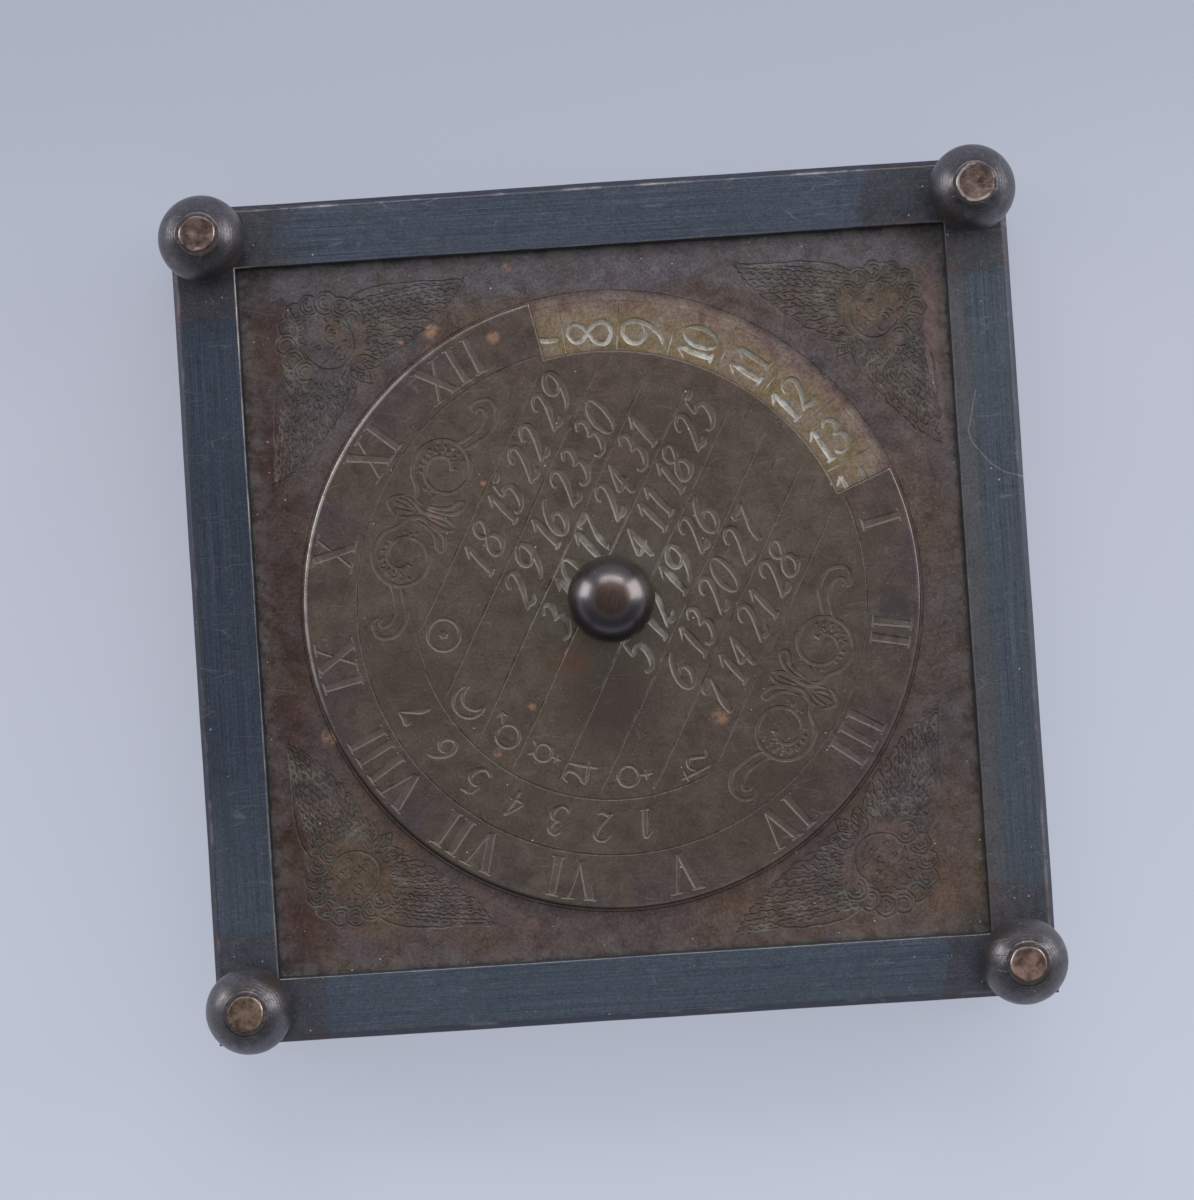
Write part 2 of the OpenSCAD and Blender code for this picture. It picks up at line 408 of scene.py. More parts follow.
# %% Draw the figures
FIGURES = {
    "0": [[(.30, 1, .4), (.10, .86, .8), (.02, .5, 1.1), (.12, .12, .8), (.30, 0, .4), (.50, .14, .8),
           (.58, .5, 1.1),
           (.48, .88, .8), (.30, 1, .4)]],
    "1": [[(.04, .74, .3), (.20, .86, .7), (.34, 1, .9)], [(.34, 1, .8), (.33, .5, 1.3), (.32, 0, 1)],
          [(.14, 0, .4), (.32, .02, .8), (.50, 0, .4)]],
    "2": [[(.06, .72, .8), (.14, .94, .6), (.36, 1, .7), (.54, .84, 1.1), (.48, .56, 1.1), (.26, .26, .8),
           (.04, .03, .4)], [(.04, .03, .4), (.20, .10, 1), (.42, .02, 1.1), (.62, .12, .4)]],
    "3": [[(.08, .84, .6), (.28, 1, .7), (.50, .84, 1.1), (.42, .60, .8), (.22, .53, .4)],
          [(.22, .53, .4), (.50, .46, .9), (.56, .22, 1.2), (.34, 0, .8), (.10, .06, .9), (.04, .20, .5)]],
    "4": [[(.42, 1, .5), (.22, .66, .7), (.02, .34, .6)], [(.02, .34, .5), (.30, .33, .7), (.62, .36, .4)],
          [(.42, 1, .6), (.41, .5, 1.2), (.40, -.04, .9)]],
    "5": [[(.16, 1, .6), (.12, .78, .7), (.09, .56, .5)],
          [(.09, .56, .4), (.30, .64, .8), (.54, .50, 1.1), (.54, .20, 1.2), (.32, 0, .8), (.10, .04, .9),
           (.03, .16, .5)], [(.16, 1, .7), (.36, .96, 1), (.58, 1.04, .4)]],
    "6": [[(.52, .96, .4), (.30, .86, .8), (.10, .58, 1.1), (.04, .26, 1.2), (.16, .03, .9), (.36, 0, .8),
           (.54, .16, 1.1), (.54, .38, 1), (.36, .52, .7), (.16, .46, .5), (.06, .30, .3)]],
    "7": [[(.04, .82, .4), (.08, .98, .9), (.30, .94, 1), (.58, 1, .6)],
          [(.58, 1, .5), (.40, .60, .9), (.28, .30, 1.2), (.24, -.04, .9)]],
    "8": [[(.30, .54, .7), (.12, .68, .9), (.10, .88, .8), (.30, 1, .6), (.50, .88, .8), (.46, .68, .9),
           (.30, .54, .8), (.08, .34, 1.1), (.06, .12, 1), (.30, 0, .7), (.54, .12, 1.1), (.50, .36, 1),
           (.30, .54, .7)]],
    "9": [[(.10, .04, .4), (.32, .14, .8), (.52, .42, 1.1), (.58, .74, 1.2), (.46, .97, .9), (.26, 1, .8),
           (.08, .84, 1.1), (.08, .62, 1), (.26, .48, .7), (.46, .54, .5), (.56, .70, .3)]],
}
FIGURE_ADVANCE = {name: 0.52 if name == "1" else 0.74 for name in FIGURES}


def arc_points(x, y, radius, start, end, weight, count):
    return [(x + radius * math.cos(math.radians(a)), y + radius * math.sin(math.radians(a)), weight)
            for a in np.linspace(start, end, count)]


SIGNS = {
    "sun": [arc_points(0, 0, .5, 90, 450, .9, 17), arc_points(0, 0, .06, 0, 360, 1.3, 7)],
    "moon": [arc_points(-.05, 0, .5, 50, 310, .9, 13), arc_points(.18, 0, .40, 78, 282, .9, 11)],
    "mars": [arc_points(-.08, -.1, .36, 60, 420, .9, 15),
             [(.10, .22, .8), (.26, .38, .7), (.40, .56, .4)],
             [(.14, .54, .4), (.32, .52, .8), (.42, .58, .5)],
             [(.42, .26, .4), (.40, .42, .8), (.42, .58, .5)]],
    "mercury": [arc_points(0, .02, .27, 90, 450, .9, 13), arc_points(0, .52, .24, 190, 350, .8, 7),
                [(0, -.25, .6), (0, -.42, .9), (0, -.62, .5)],
                [(-.2, -.42, .4), (0, -.43, .8), (.2, -.42, .4)]],
    "jupiter": [[(-.42, .34, .7), (-.26, .52, .7), (-.06, .44, 1), (-.08, .14, 1), (-.40, -.18, .6)],
                [(-.42, -.18, .5), (0, -.20, .9), (.44, -.18, .5)],
                [(.20, .50, .5), (.20, 0, 1), (.20, -.54, .6)]],
    "venus": [arc_points(0, .18, .32, 90, 450, .9, 15), [(0, -.14, .6), (0, -.36, 1), (0, -.62, .6)],
              [(-.22, -.38, .4), (0, -.39, .9), (.22, -.38, .4)]],
    "saturn": [[(-.22, .58, .5), (-.21, .1, 1), (-.22, -.50, .6)],
               [(-.42, .34, .4), (-.2, .36, .8), (.04, .34, .4)],
               [(-.21, -.02, .4), (.02, .16, .8), (.26, .06, 1.1), (.20, -.20, 1), (.12, -.46, .8),
                (.34, -.56, .4)]],
}


def strokes(drawing, at, turn, size, nib, slant=0.0):
    """Cuts for one figure or sign; a stroke that comes back to its start is cut as a closed one."""
    made = []
    for line in drawing:
        closed = line[0][:2] == line[-1][:2] or math.dist(line[0][:2], line[-1][:2]) < 1e-6
        moved = placed(line[:-1] if closed else line, at, turn, size, slant)
        made.append(burin(moved, nib, closed=closed, slope=SOFT_SLOPE))
    return made


def number(text, at, turn, size, nib, slant=0.0, centred=True, narrow=1.0):
    """Cuts for a number that reads along the bearing turn, with at on its middle or at its left end."""
    advance = [FIGURE_ADVANCE[c] * narrow for c in text]
    x = -sum(advance) / 2 if centred else 0.0
    y = -0.5 if centred else 0.0
    made = []
    for c, step_on in zip(text, advance):
        lean = hand.gauss(0, 0.02)
        drawing = [[(px * narrow, py, w) for px, py, w in line] for line in FIGURES[c]]
        start = placed([(x + hand.gauss(0, 0.01), y + hand.gauss(0, 0.01), 0)], at, turn, size)[0]
        made += strokes(drawing, start[:2], turn + lean, size, nib, slant)
        x += step_on
    return made


THICK = 1.12
THIN = 0.42
NUMERALS = ("I", "II", "III", "IV", "V", "VI", "VII", "VIII", "IX", "X", "XI", "XII")
CAPITALS = {  # thick lines, thin lines, serif middles, width; all in heights
    "I": ([((.15, 0), (.15, 1))], [], [(.15, 0), (.15, 1)], 0.46),
    "V": ([((.10, 1), (.38, 0))], [((.66, 1), (.42, .03))], [(.10, 1), (.66, 1)], 0.88),
    "X": ([((.08, 1), (.62, 0))], [((.62, 1), (.08, 0))], [(.08, 1), (.62, 1), (.08, 0), (.62, 0)], 0.88),
}


def capitals(text, radius, degrees, height, thick=THICK, thin=THIN):
    """Cuts for a Roman numeral bent round the dial, with its feet towards the middle."""
    width = sum(CAPITALS[c][3] for c in text)
    x = -width / 2 * height
    made = []
    for c in text:
        thick_lines, thin_lines, serifs, advance = CAPITALS[c]
        middle = x + advance * height / 2
        bearing = degrees - math.degrees(middle / radius) + hand.gauss(0, 0.25)
        turn = math.radians(bearing - 90 + hand.gauss(0, 1.0))
        at = polar(radius, bearing)

        def here(point):
            return placed([((point[0] + 0.05 - advance / 2), point[1] - 0.5, 0)], at, turn, height)[0][:2]

        made += [stem(here(a), here(b), thick, thick * 0.86) for a, b in thick_lines]
        made += [stem(here(a), here(b), thin) for a, b in thin_lines]
        for sx, sy in serifs:
            inward = 0.02 if sy == 0 else -0.02
            made.append(stem(here((sx - .17, sy + inward)), here((sx + .17, sy + inward)), thin * 0.75))
        x += advance * height
    return made


print(len(FIGURES), "figures,", len(SIGNS), "day signs,", len(CAPITALS), "capitals")

# %% [markdown]
# ## Ornament
# Between the rows and the outer ring sit two scroll ornaments: a palmette with a leafy volute and a curled
# tail on either side, cut as double lines. In the plate's corners are winged heads, the usual filler for the
# corners of old dials. Both are drawn once from simple curves and shaken a little each time, as a hand
# repeats a pattern.

# %% Draw the scroll ornament
SCROLL_NIB = 0.50
WING_NIB = 0.32
FEATHER_FAN = 1.6
FEATHERS = 12
SHAKE = 0.05


def spun(lines, degrees, nib=WING_NIB, at=(0, 0)):
    """Cuts along lines that were drawn about the middle, turned by degrees."""
    return [burin(placed(line, at, math.radians(degrees)), nib) for line in lines]


def spoke(radii, bearing, width):
    return hair([polar(radius, bearing) for radius in radii], width, 2)


def shaken(points):
    return [(x + hand.gauss(0, SHAKE), y + hand.gauss(0, SHAKE), w) for x, y, w in points]


def spiral(x, y, first_radius, last_radius, start, end, weight, count):
    made = []
    for t in np.linspace(0, 1, count):
        radius = first_radius + (last_radius - first_radius) * t
        angle = math.radians(start + (end - start) * t)
        made.append((x + radius * math.cos(angle), y + radius * math.sin(angle), weight))
    return made


def leaf(x, y, angle, length, width, ribs):
    """A pointed leaf from its root: two bowed edges, a rib and a few veins."""
    edge = [(0, 0, .5), (.25, .5, 1), (.6, .42, 1), (1, 0, .4)]
    lines = [edge, [(px, -py, w) for px, py, w in edge], [(.1, 0, .4), (.45, 0, .8), (.8, 0, .4)]]
    for rib in range(ribs):
        at = 0.18 + 0.5 * rib / ribs
        lines += [[(at, 0, .4), (at + .16, s * .14, .8), (at + .26, s * .3, .4)] for s in (-1, 1)]
    shaped = [[(px * length, py * width, w) for px, py, w in line] for line in lines]
    return [placed(line, (x, y), math.radians(angle)) for line in shaped]


VOLUTE = (5.8, 0.1)
SCROLL = [  # one side without its volute: x outwards, y up, weight; in mm from the palmette's middle
    [(1.1, .2, .4), (1.3, -1.2, 1), (1.9, -2.4, 1.1), (2.9, -3.1, 1.1), (3.2, -3.7, 1), (2.6, -4.0, 1),
     (1.5, -3.2, 1.1),
     (1.0, -1.9, 1), (.8, -.4, .5)],
    [(8.8, -.9, .4), (9.6, -1.6, 1.1), (10.6, -2.4, 1.1), (11.7, -3.0, 1.1), (13.0, -3.3, 1.2),
     (14.6, -2.8, 1.1),
     (15.4, -1.5, 1.1), (15.1, -.5, 1), (14.2, .1, 1), (13.3, -.2, .6)],
    [(9.0, .5, .4), (9.6, -.3, 1), (10.6, -1.1, 1), (11.8, -1.7, 1.1), (13.0, -1.9, 1), (13.9, -1.6, 1),
     (14.2, -1.0, 1),
     (13.8, -.6, .9), (13.2, -.7, .5)],
]
PALMETTE = [
    [(-1.6, 2.8, .5), (-1.0, 3.9, 1), (-.2, 4.6, 1.1), (.7, 3.8, 1), (1.2, 2.8, .5)],
    [(-1.5, 2.8, .5), (-1.1, 1.4, 1), (-.5, .3, 1.1), (-.6, -1.1, 1), (-.8, -2.9, 1.1), (-.2, -4.2, .7)],
    [(1.1, 2.8, .5), (.8, 1.4, 1), (.3, .3, 1.1), (.4, -1.2, 1), (.6, -2.8, 1.1), (.1, -4.2, .7)],
    [(-.8, 3.7, .5), (-.7, 2.4, 1), (-.3, 1.2, .5)], [(.5, 3.6, .5), (.5, 2.4, 1), (.1, 1.2, .5)],
    [(-.1, 4.0, .5), (-.1, 2.8, 1), (-.1, 1.7, .5)], [(-.1, -.6, .5), (-.1, -2.0, 1), (-.1, -3.4, .5)],
]


def comb(row, count, reach):
    """Short strokes side by side along a line, each leaning a little forwards."""
    line = smooth_line(row, .1)[:, :2]
    made = []
    for share in np.linspace(.02, .96, count):
        i = int(share * (len(line) - 2))
        way = (line[i + 1] - line[i]) / np.linalg.norm(line[i + 1] - line[i])
        beside = np.array((-way[1], way[0])) * reach * hand.uniform(.8, 1.1)
        lean = way * abs(reach) * hand.uniform(.1, .35)
        steps = ((.15, 0, .5), (.6, .3, 1), (1, 1, .5))
        made.append([(*(line[i] + beside * out + lean * on), weight) for out, on, weight in steps])
    return made


def volute():
    """A stem that rises from the palmette and winds inwards, with leafy fringes on both of its turns."""
    x, y = VOLUTE
    outer = spiral(x, y, 3.85, 2.95, 148, -140, 1.1, 12)
    inner = spiral(x, y, 2.75, .75, -168, -440, 1, 18)
    lines = [[(.9, .4, .5), (1.3, 1.6, 1)] + outer + inner]
    lines += comb(spiral(x, y, 2.15, 1.35, -235, -385, 1, 9), 8, 1.0)
    lines += comb(spiral(x, y, 1.15, .85, -330, -430, 1, 7), 4, .8)
    lines += comb(spiral(x, y, 3.2, 3.0, 62, -48, 1, 9), 6, -.8)
    return lines + comb([(2.6, 2.2, 1), (3.2, 1.3, 1), (3.2, .3, 1), (2.8, -.6, 1)], 4, -.8)


def scroll_lines():
    """The whole ornament upright: the palmette, and a scroll with its tail on either side."""
    lines = [shaken(line) for line in PALMETTE]
    for side in (-1, 1):
        stretch = side * (1 + hand.gauss(0, 0.015))
        half = [shaken(line) for line in SCROLL] + volute()
        lines += [[(x * stretch, y, w) for x, y, w in line] for line in half]
    return lines


def scroll_ornament(middle_v, up):
    """The ornament on the disc, upright for up = 1 and upside down for up = -1."""
    return [burin([(x, middle_v + up * y, w) for x, y, w in line], SCROLL_NIB) for line in scroll_lines()]


print("scroll:", len(PALMETTE), "lines in the palmette,", len(SCROLL), "beside each volute")

# %% [markdown]
# ## Winged heads
# A cherub's head between two wings fills a corner because its outline is a triangle. Feathers could be placed
# one by one, but rows of short waves between a front and a back line grow with the wing and stay as irregular
# as the burin left them.

# %% Draw the winged head
def along(points, t):
    """The point a share t of the way through a row of points."""
    place = t * (len(points) - 1)
    i = min(int(place), len(points) - 2)
    a, b = np.array(points[i][:2]), np.array(points[i + 1][:2])
    return a + (b - a) * (place - i)


def wing():
    """The left wing: wavy feathers side by side down to the lower edge, with short strokes between them."""
    front = smooth_line([(-5.0, 1.6, 1), (-7.6, 1.0, 1), (-10.6, -1.2, 1), (-13.6, -4.1, 1),
                         (-16.5, -6.8, 1)], 0.4)
    root = smooth_line([(-5.0, 1.6, 1), (-5.4, -.4, 1), (-4.2, -2.4, 1), (-1.6, -4.4, 1)], 0.4)
    back = smooth_line([(-16.5, -6.8, 1), (-13.4, -7.5, 1), (-9.4, -7.4, 1), (-5.0, -6.8, 1),
                        (-1.6, -5.2, 1)], 0.4)
    lines = [[(x, y, 1.1) for x, y, _ in front[::2]]]
    last_tip = front[-1][:2]
    for k in range(FEATHERS):
        share = (k + .6) / FEATHERS
        base, tip = along(root, share), along(back, share ** FEATHER_FAN)
        axis = tip - base
        length = max(float(np.linalg.norm(axis)), 1.0)
        axis /= length
        beside = np.array((-axis[1], axis[0]))
        row, sign = [(*base, .5)], 1
        for gone in np.arange(.5, length - .3, .55):
            bow = .45 * (1 - share) * math.sin(math.pi * gone / length)
            spot = base + axis * gone - beside * (bow + sign * hand.uniform(.06, .15))
            row.append((*spot, hand.uniform(.7, 1.5)))
            sign = -sign
        lines.append(row + [(*tip, .6)])
        lines.append([(*tip, .5), (*((tip + last_tip) / 2 - axis * -.35), 1.1), (*last_tip, .5)])
        last_tip = tip
        for gone in np.arange(.8 + hand.uniform(0, .6), length - .6, 1.05):
            spot = base + axis * gone - beside * (.45 * (1 - share) * math.sin(math.pi * gone / length) - .36)
            ahead = axis * hand.uniform(.28, .42) + beside * hand.uniform(-.16, .04)
            lines.append([(*(spot - ahead), .4), (*(spot + beside * .07), 1.2), (*(spot + ahead), .4)])
    for row in range(3):
        for k in range(5):
            share = (k + .5 + row * .3) / 5.6
            between = along(root, share) * (1 - .10 * row) + along(back, share * .8) * .10 * row
            spot = between + np.array((-.2, -.3))
            lines.append([(*(spot + np.array((.2, .55))), .5), (*(spot + np.array((-.6, .3))), 1.2),
                          (*(spot + np.array((-.6, -.3))), 1.2), (*(spot + np.array((.1, -.6))), .5)])
    return lines


def head():
    """A child's round face and curly hair, in millimetres from the middle of the face."""
    lines = [[(-2.6, 1.2, .5), (-2.9, .0, 1), (-2.7, -1.6, 1.1), (-1.5, -3.0, 1.2), (0, -3.4, 1.2),
              (1.5, -3.0, 1.2), (2.7, -1.6, 1.1), (2.9, .0, 1), (2.6, 1.2, .5)],
             [(-.6, -2.5, .5), (0, -2.75, .9), (.6, -2.5, .5)],
             [(-.8, -1.6, .5), (-.25, -1.5, 1.2), (0, -1.62, 1), (.25, -1.5, 1.2), (.8, -1.6, .5)],
             [(-.35, -1.98, .5), (0, -2.1, .9), (.35, -1.98, .5)],
             [(.24, .7, .4), (.2, .0, .8), (.42, -.6, 1), (.05, -.88, 1), (-.32, -.7, .6)]]
    half_face = ([(-1.85, .32, .5), (-1.3, .62, 1.3), (-.7, .35, .6)],
                 [(-1.75, .22, .4), (-1.25, .04, .9), (-.78, .25, .4)],
                 [(-1.42, .42, .9), (-1.3, .24, 1.4), (-1.15, .38, .9)],
                 [(-2.0, 1.0, .4), (-1.4, 1.3, .9), (-.6, 1.05, .4)],
                 [(-2.3, -1.1, .4), (-1.8, -1.45, .8), (-1.25, -1.2, .4)])
    for side in (-1, 1):
        lines += [[(side * x, y, w) for x, y, w in line] for line in half_face]
    for k in range(9):
        angle = -14 + 26 * k
        x, y = polar(4.35, angle)
        size = hand.uniform(1.2, 1.5)
        way = 1 if angle > 90 else -1
        facing = angle + 180 - way * 40
        for share, swept in ((1, 290), (.66, 235), (.32, 200)):
            lines.append(spiral(x, y + .7, size * share, size * share * .86, facing, facing + way * swept,
                                1.2, 13))
    for k in range(7):
        x, y = polar(2.75, 30 + 20 * k)
        facing = hand.uniform(160, 220)
        lines.append(spiral(x, y + .5, .55, .4, facing, facing - 230, 1, 9))
    return lines


def winged_head(bearing, distance, shift, size):
    lines = head()
    for side in (-1, 1):
        lines += [[(-side * x, y, w) for x, y, w in line] for line in wing()]
    for angle in (232, 270, 308):
        lines += leaf(.8 * math.cos(math.radians(angle)), -3.9, angle, 3.5, 1.8, 3)
    return spun([[(x * size, y * size + distance, w) for x, y, w in shaken(line)] for line in lines],
                bearing - 90, at=shift)


# %% [markdown]
# ## What is cut where
# The front disc carries eight ruled lines, seven rows of dates, each with the sign of its day, two scroll
# ornaments, a small ring of figures and an outer ring of twelve numerals. The window in its edge shows the
# plate's own ring of thirty-one days. The rear disc's narrow window shows one of twelve months: its numeral
# and its number of days.

# %% Lay out the front disc
WINDOW_BEARING = 61.8
WINDOW_ANGLE = 80.0
WINDOW_R = 29.9
ROW_ARC_R = 23.8
BAND_R = 30.4
RULES = (19.2, 13.2, 7.5, 2.4, -3.2, -8.3, -13.9, -19.5)
ROW_STARTS = (-4.2, -5.6, -7.0, 5.4, -6.4, -6.2, -7.2)
DAY_SIGNS = (("sun", -12.1, 16.5), ("moon", -17.9, 10.3), ("mars", -19.5, 4.8), ("mercury", -19.9, -.2),
             ("jupiter", -20.1, -5.2), ("venus", -17.9, -11.1), ("saturn", -13.9, -17.1))
DASHES = ((25.5, 10.7), (25.5, 5.6), (27.0, -5.6), (22.6, -10.9), (22.4, -16.3))
DISC_FIGURE = 4.15
DISC_NIB = 0.80
RULE_WIDTH = 0.30
BAND_WIDTH = 0.28
KNOB_SHADOW = 3.0
WINDOW_GAP = 0.8  # degrees that a ring stops short of a window
RULE_END = 27.6
SIGN_SIZE, SIGN_NIB = 3.8, 0.56
ROW_ARC = (135, 234)
SMALL_RING_R, SMALL_RING_START, SMALL_RING_STEP = 27.0, 214, 11.6
SMALL_FIGURE, SMALL_NIB = 3.5, 0.62
NUMERAL_R, NUMERAL_HEIGHT = 33.5, 4.75
NUMERAL_START, NUMERAL_SPAN = -49, 252
SCROLLS = ((24.6, 1), (-25.0, -1))


def disc_frame(cuts):
    """Turns cuts drawn with the window to the right to where the window really points."""
    c, s = math.cos(math.radians(WINDOW_BEARING)), math.sin(math.radians(WINDOW_BEARING))
    for one in cuts:
        one.points = one.points @ np.array([[c, s], [-s, c]])
    return cuts


def ruled(y, left, right):
    points = [(x, y + hand.gauss(0, 0.05)) for x in np.linspace(left, right, 7)]
    return hair(points, RULE_WIDTH, 2.5)


def front_disc_cuts():
    gap = WINDOW_ANGLE / 2 + WINDOW_GAP
    cuts = [ring_cut(BAND_R, BAND_WIDTH, gap, 360 - gap, wander=.05),
            ring_cut(ROW_ARC_R, BAND_WIDTH, *ROW_ARC, wander=.05)]
    for rule in RULES:
        right = math.sqrt(WINDOW_R ** 2 - rule ** 2) - 1.2
        left = -math.sqrt(ROW_ARC_R ** 2 - rule ** 2) if abs(rule) < 17 else -13.9 if rule > 0 else -13.4
        if abs(rule) < KNOB_SHADOW:
            cuts.append(ruled(rule, left + .15, -KNOB_SHADOW))
            left = KNOB_SHADOW
        cuts.append(ruled(rule, left + .15, min(right, RULE_END)))
    cuts.append(hair([(-16.7, 16.7), (-15.2, 17.9), (-13.8, 19.1)], BAND_WIDTH))
    cuts.append(hair([(-14.1, -19.1), (-13.7, -19.3), (-13.3, -19.5)], 0.13))
    for row, (above, below) in enumerate(zip(RULES, RULES[1:])):
        x, y = ROW_STARTS[row], (above + below) / 2 - DISC_FIGURE * .46
        for day in range(row + 1, 32, 7):
            text = str(day)
            cuts += number(text, (x, y + hand.gauss(0, .06)), hand.gauss(0, .012), DISC_FIGURE, DISC_NIB, .42,
                           False, narrow=.92)
            x += sum(FIGURE_ADVANCE[c] for c in text) * DISC_FIGURE * .92 + 1.0
    for name, x, y in DAY_SIGNS:
        cuts += strokes(SIGNS[name], (x, y), math.atan2(y, x) + math.pi, SIGN_SIZE, SIGN_NIB)
    cuts += [hair([(x - 1.4, y), (x, y + .1), (x + 1.3, y)], .2) for x, y in DASHES]
    for place, figure in enumerate("1234567"):
        bearing = SMALL_RING_START - SMALL_RING_STEP * place
        cuts += number(figure, polar(SMALL_RING_R, bearing), math.radians(bearing - 90), SMALL_FIGURE,
                       SMALL_NIB, .1)
    for place, text in enumerate(NUMERALS):
        bearing = NUMERAL_START - (NUMERAL_SPAN / (len(NUMERALS) - 1)) * place
        cuts += capitals(text, NUMERAL_R, bearing, NUMERAL_HEIGHT)
    for middle_v, up in SCROLLS:
        cuts += scroll_ornament(middle_v, up)
    return disc_frame(cuts)


drawings = {"front_disc": front_disc_cuts()}
print("front disc:", len(drawings["front_disc"]), "cuts")

# %% [markdown]
# ## The plate's front
# The plate carries the days of the month in a ring under the disc, one cell to each day, so that the window
# shows a few of them. The numbers stand along the radius, which is how they read upright at the window.

# %% Lay out the plate's front
DAYS = 31
DAY_RING_R = 37.15
DAY_CELL_IN = 28.7
DAY_CELL_OUT = 36.4
DAY_FIGURE_R = 32.4
DAY_FIGURE = 4.25
ALONE = 1.22  # a figure that stands alone in its cell is this much larger
DAY_NIB = 0.68
CORNER_HEADS = (  # bearing and distance of each head's middle, its shift along x and y, and its size
    (45.6, 45.3, (2.1, 0.1), 0.985), (134.2, 45.0, (-0.7, 0.7), 1.0),
    (225.4, 45.2, (-1.2, 1.1), 0.98), (314.5, 45.0, (-1.2, -1.2), 1.07))


def plate_front_cuts():
    cuts = [ring_cut(DAY_RING_R, 0.13), ring_cut(35.9, 0.07), ring_cut(DAY_CELL_IN, 0.12)]
    for day in range(1, DAYS + 1):
        middle = WINDOW_BEARING - (day - 10.5) * 360 / DAYS
        edge = middle + 180 / DAYS
        cuts.append(hair([polar(DAY_CELL_IN + .1, edge + .2), polar(DAY_FIGURE_R, edge),
                          polar(DAY_CELL_OUT, edge - .1)], .17, 2))
        size, narrow = (DAY_FIGURE, .93) if day > 9 else (DAY_FIGURE * ALONE, 1.0)
        cuts += number(str(day), polar(DAY_FIGURE_R, middle), math.radians(middle), size, DAY_NIB, .04,
                       narrow=narrow)
    for corner in CORNER_HEADS:
        cuts += winged_head(*corner)
    return cuts


drawings["plate_front"] = plate_front_cuts()
print("plate front:", len(drawings["plate_front"]), "cuts")

# %% [markdown]
# ## The rear
# The second face pairs each month with its number of days. It is laid out as seen from behind and turned over
# with its solid, which keeps the figures readable without mirroring each one.

# %% Lay out the rear, seen from behind
MONTH_DAYS = (31, 28, 31, 30, 31, 30, 31, 31, 30, 31, 30, 31)
MONTH = 360 / len(MONTH_DAYS)
REAR_BEARING = 105.0
REAR_ANGLE = 30.0
REAR_WINDOW_R = 22.4


def plate_rear_cuts():
    cuts = [ring_cut(DAY_RING_R, 0.13), ring_cut(29.3, 0.12), ring_cut(21.6, 0.12)]
    for place, (name, days) in enumerate(zip(NUMERALS, MONTH_DAYS)):
        middle = REAR_BEARING - MONTH * place
        cuts.append(spoke((21.8, 29, 36.9), middle + MONTH / 2, .15))
        cuts += capitals(name, 32.7, middle, 3.7, thick=.62, thin=.22)
        cuts += number(str(days), polar(25.7, middle), math.radians(middle - 90), 3.6, .46)
    for corner in range(4):
        lines = [[(x * .82, y * .82 + 44.0 - abs(x) * .16, w) for x, y, w in line] for line in scroll_lines()]
        cuts += spun(lines + leaf(0, 48.4, 90, 5.4, 2.2, 3), 90 * corner - 45)
    return cuts


def rear_disc_cuts():
    gap = REAR_ANGLE / 2 + WINDOW_GAP
    cuts = [ring_cut(35.6, 0.13, REAR_BEARING + gap, REAR_BEARING + 360 - gap),
            ring_cut(21.5, 0.13), ring_cut(20.8, 0.08), ring_cut(8.6, 0.13), ring_cut(8.0, 0.08)]
    for place, name in list(enumerate(NUMERALS))[1:]:
        bearing = REAR_BEARING - MONTH * place
        cuts += capitals(name, 31.8, bearing, 4.2, thick=.8, thin=.28)
        if place > 1:
            cuts.append(spoke((23, 29, 35.2), bearing + MONTH / 2, .13))
        cuts += spun(leaf(22.6, 0, 0, 5.6, 2.2, 3), bearing)
    for petal in range(len(NUMERALS)):
        cuts += spun(leaf(9.2, 0, 0, 10.8, 3.6, 4), MONTH * petal, SCROLL_NIB)
        cuts += spun([[(9.4, 0, .5), (12.5, .1, 1), (16, -.1, 1), (20, 0, .5)]], MONTH * (petal + .5),
                     SCROLL_NIB)
    return cuts


drawings["plate_rear"] = plate_rear_cuts()
drawings["rear_disc"] = rear_disc_cuts()
print("plate rear:", len(drawings["plate_rear"]), "cuts; rear disc:", len(drawings["rear_disc"]), "cuts")

# %% [markdown]
# ## Turn the cuts into a mesh
# The edges and the bottom lines of every cut are laid into one triangulation of the face, so that each cut
# has sharp walls however small it is. Then each vertex is sunk: the depth is the largest that any cut has
# there, so crossing cuts run into each other as they do in metal.

# %% Find the lines of a cut
def rails(cut):
    """The mesh lines of a cut as (points, closed) rows: its edges, then its middle or its floor's edges."""
    p, side, half = cut.points, cut.normals(), cut.half
    left, right = p + side * half[:, None], p - side * half[:, None]
    wall = CUT_FLOOR / cut.slope
    if cut.closed:
        rows = [(left, True), (right, True)]
        if half.max() <= wall + .02:
            return rows + [(p, True)]
        reach = side * np.maximum(half - wall, .01)[:, None]
        return rows + [(p + reach, True), (p - reach, True)]
    if cut.blunt:
        floored = half.min() > wall + .03
        way, inner = (p[-1] - p[0]) / np.linalg.norm(p[-1] - p[0]), p.copy()
        inner[0] += way * (wall if floored else half[0])
        inner[-1] -= way * (wall if floored else half[-1])
        reach = side * (half - wall)[:, None]
        bottom = (np.vstack([inner + reach, (inner - reach)[::-1]]), True) if floored else (inner, False)
        return [(np.vstack([left, right[::-1]]), True), bottom]
    left[0] = right[0] = p[0]
    left[-1] = right[-1] = p[-1]
    rows = [(left, False), (right, False), (p, False)]
    wide = np.flatnonzero(half > wall + .02)
    if len(wide) > 2:
        reach = side * (half - wall)[:, None]
        rows.append((np.vstack([(p + reach)[wide], (p - reach)[wide][::-1]]), True))
    return rows


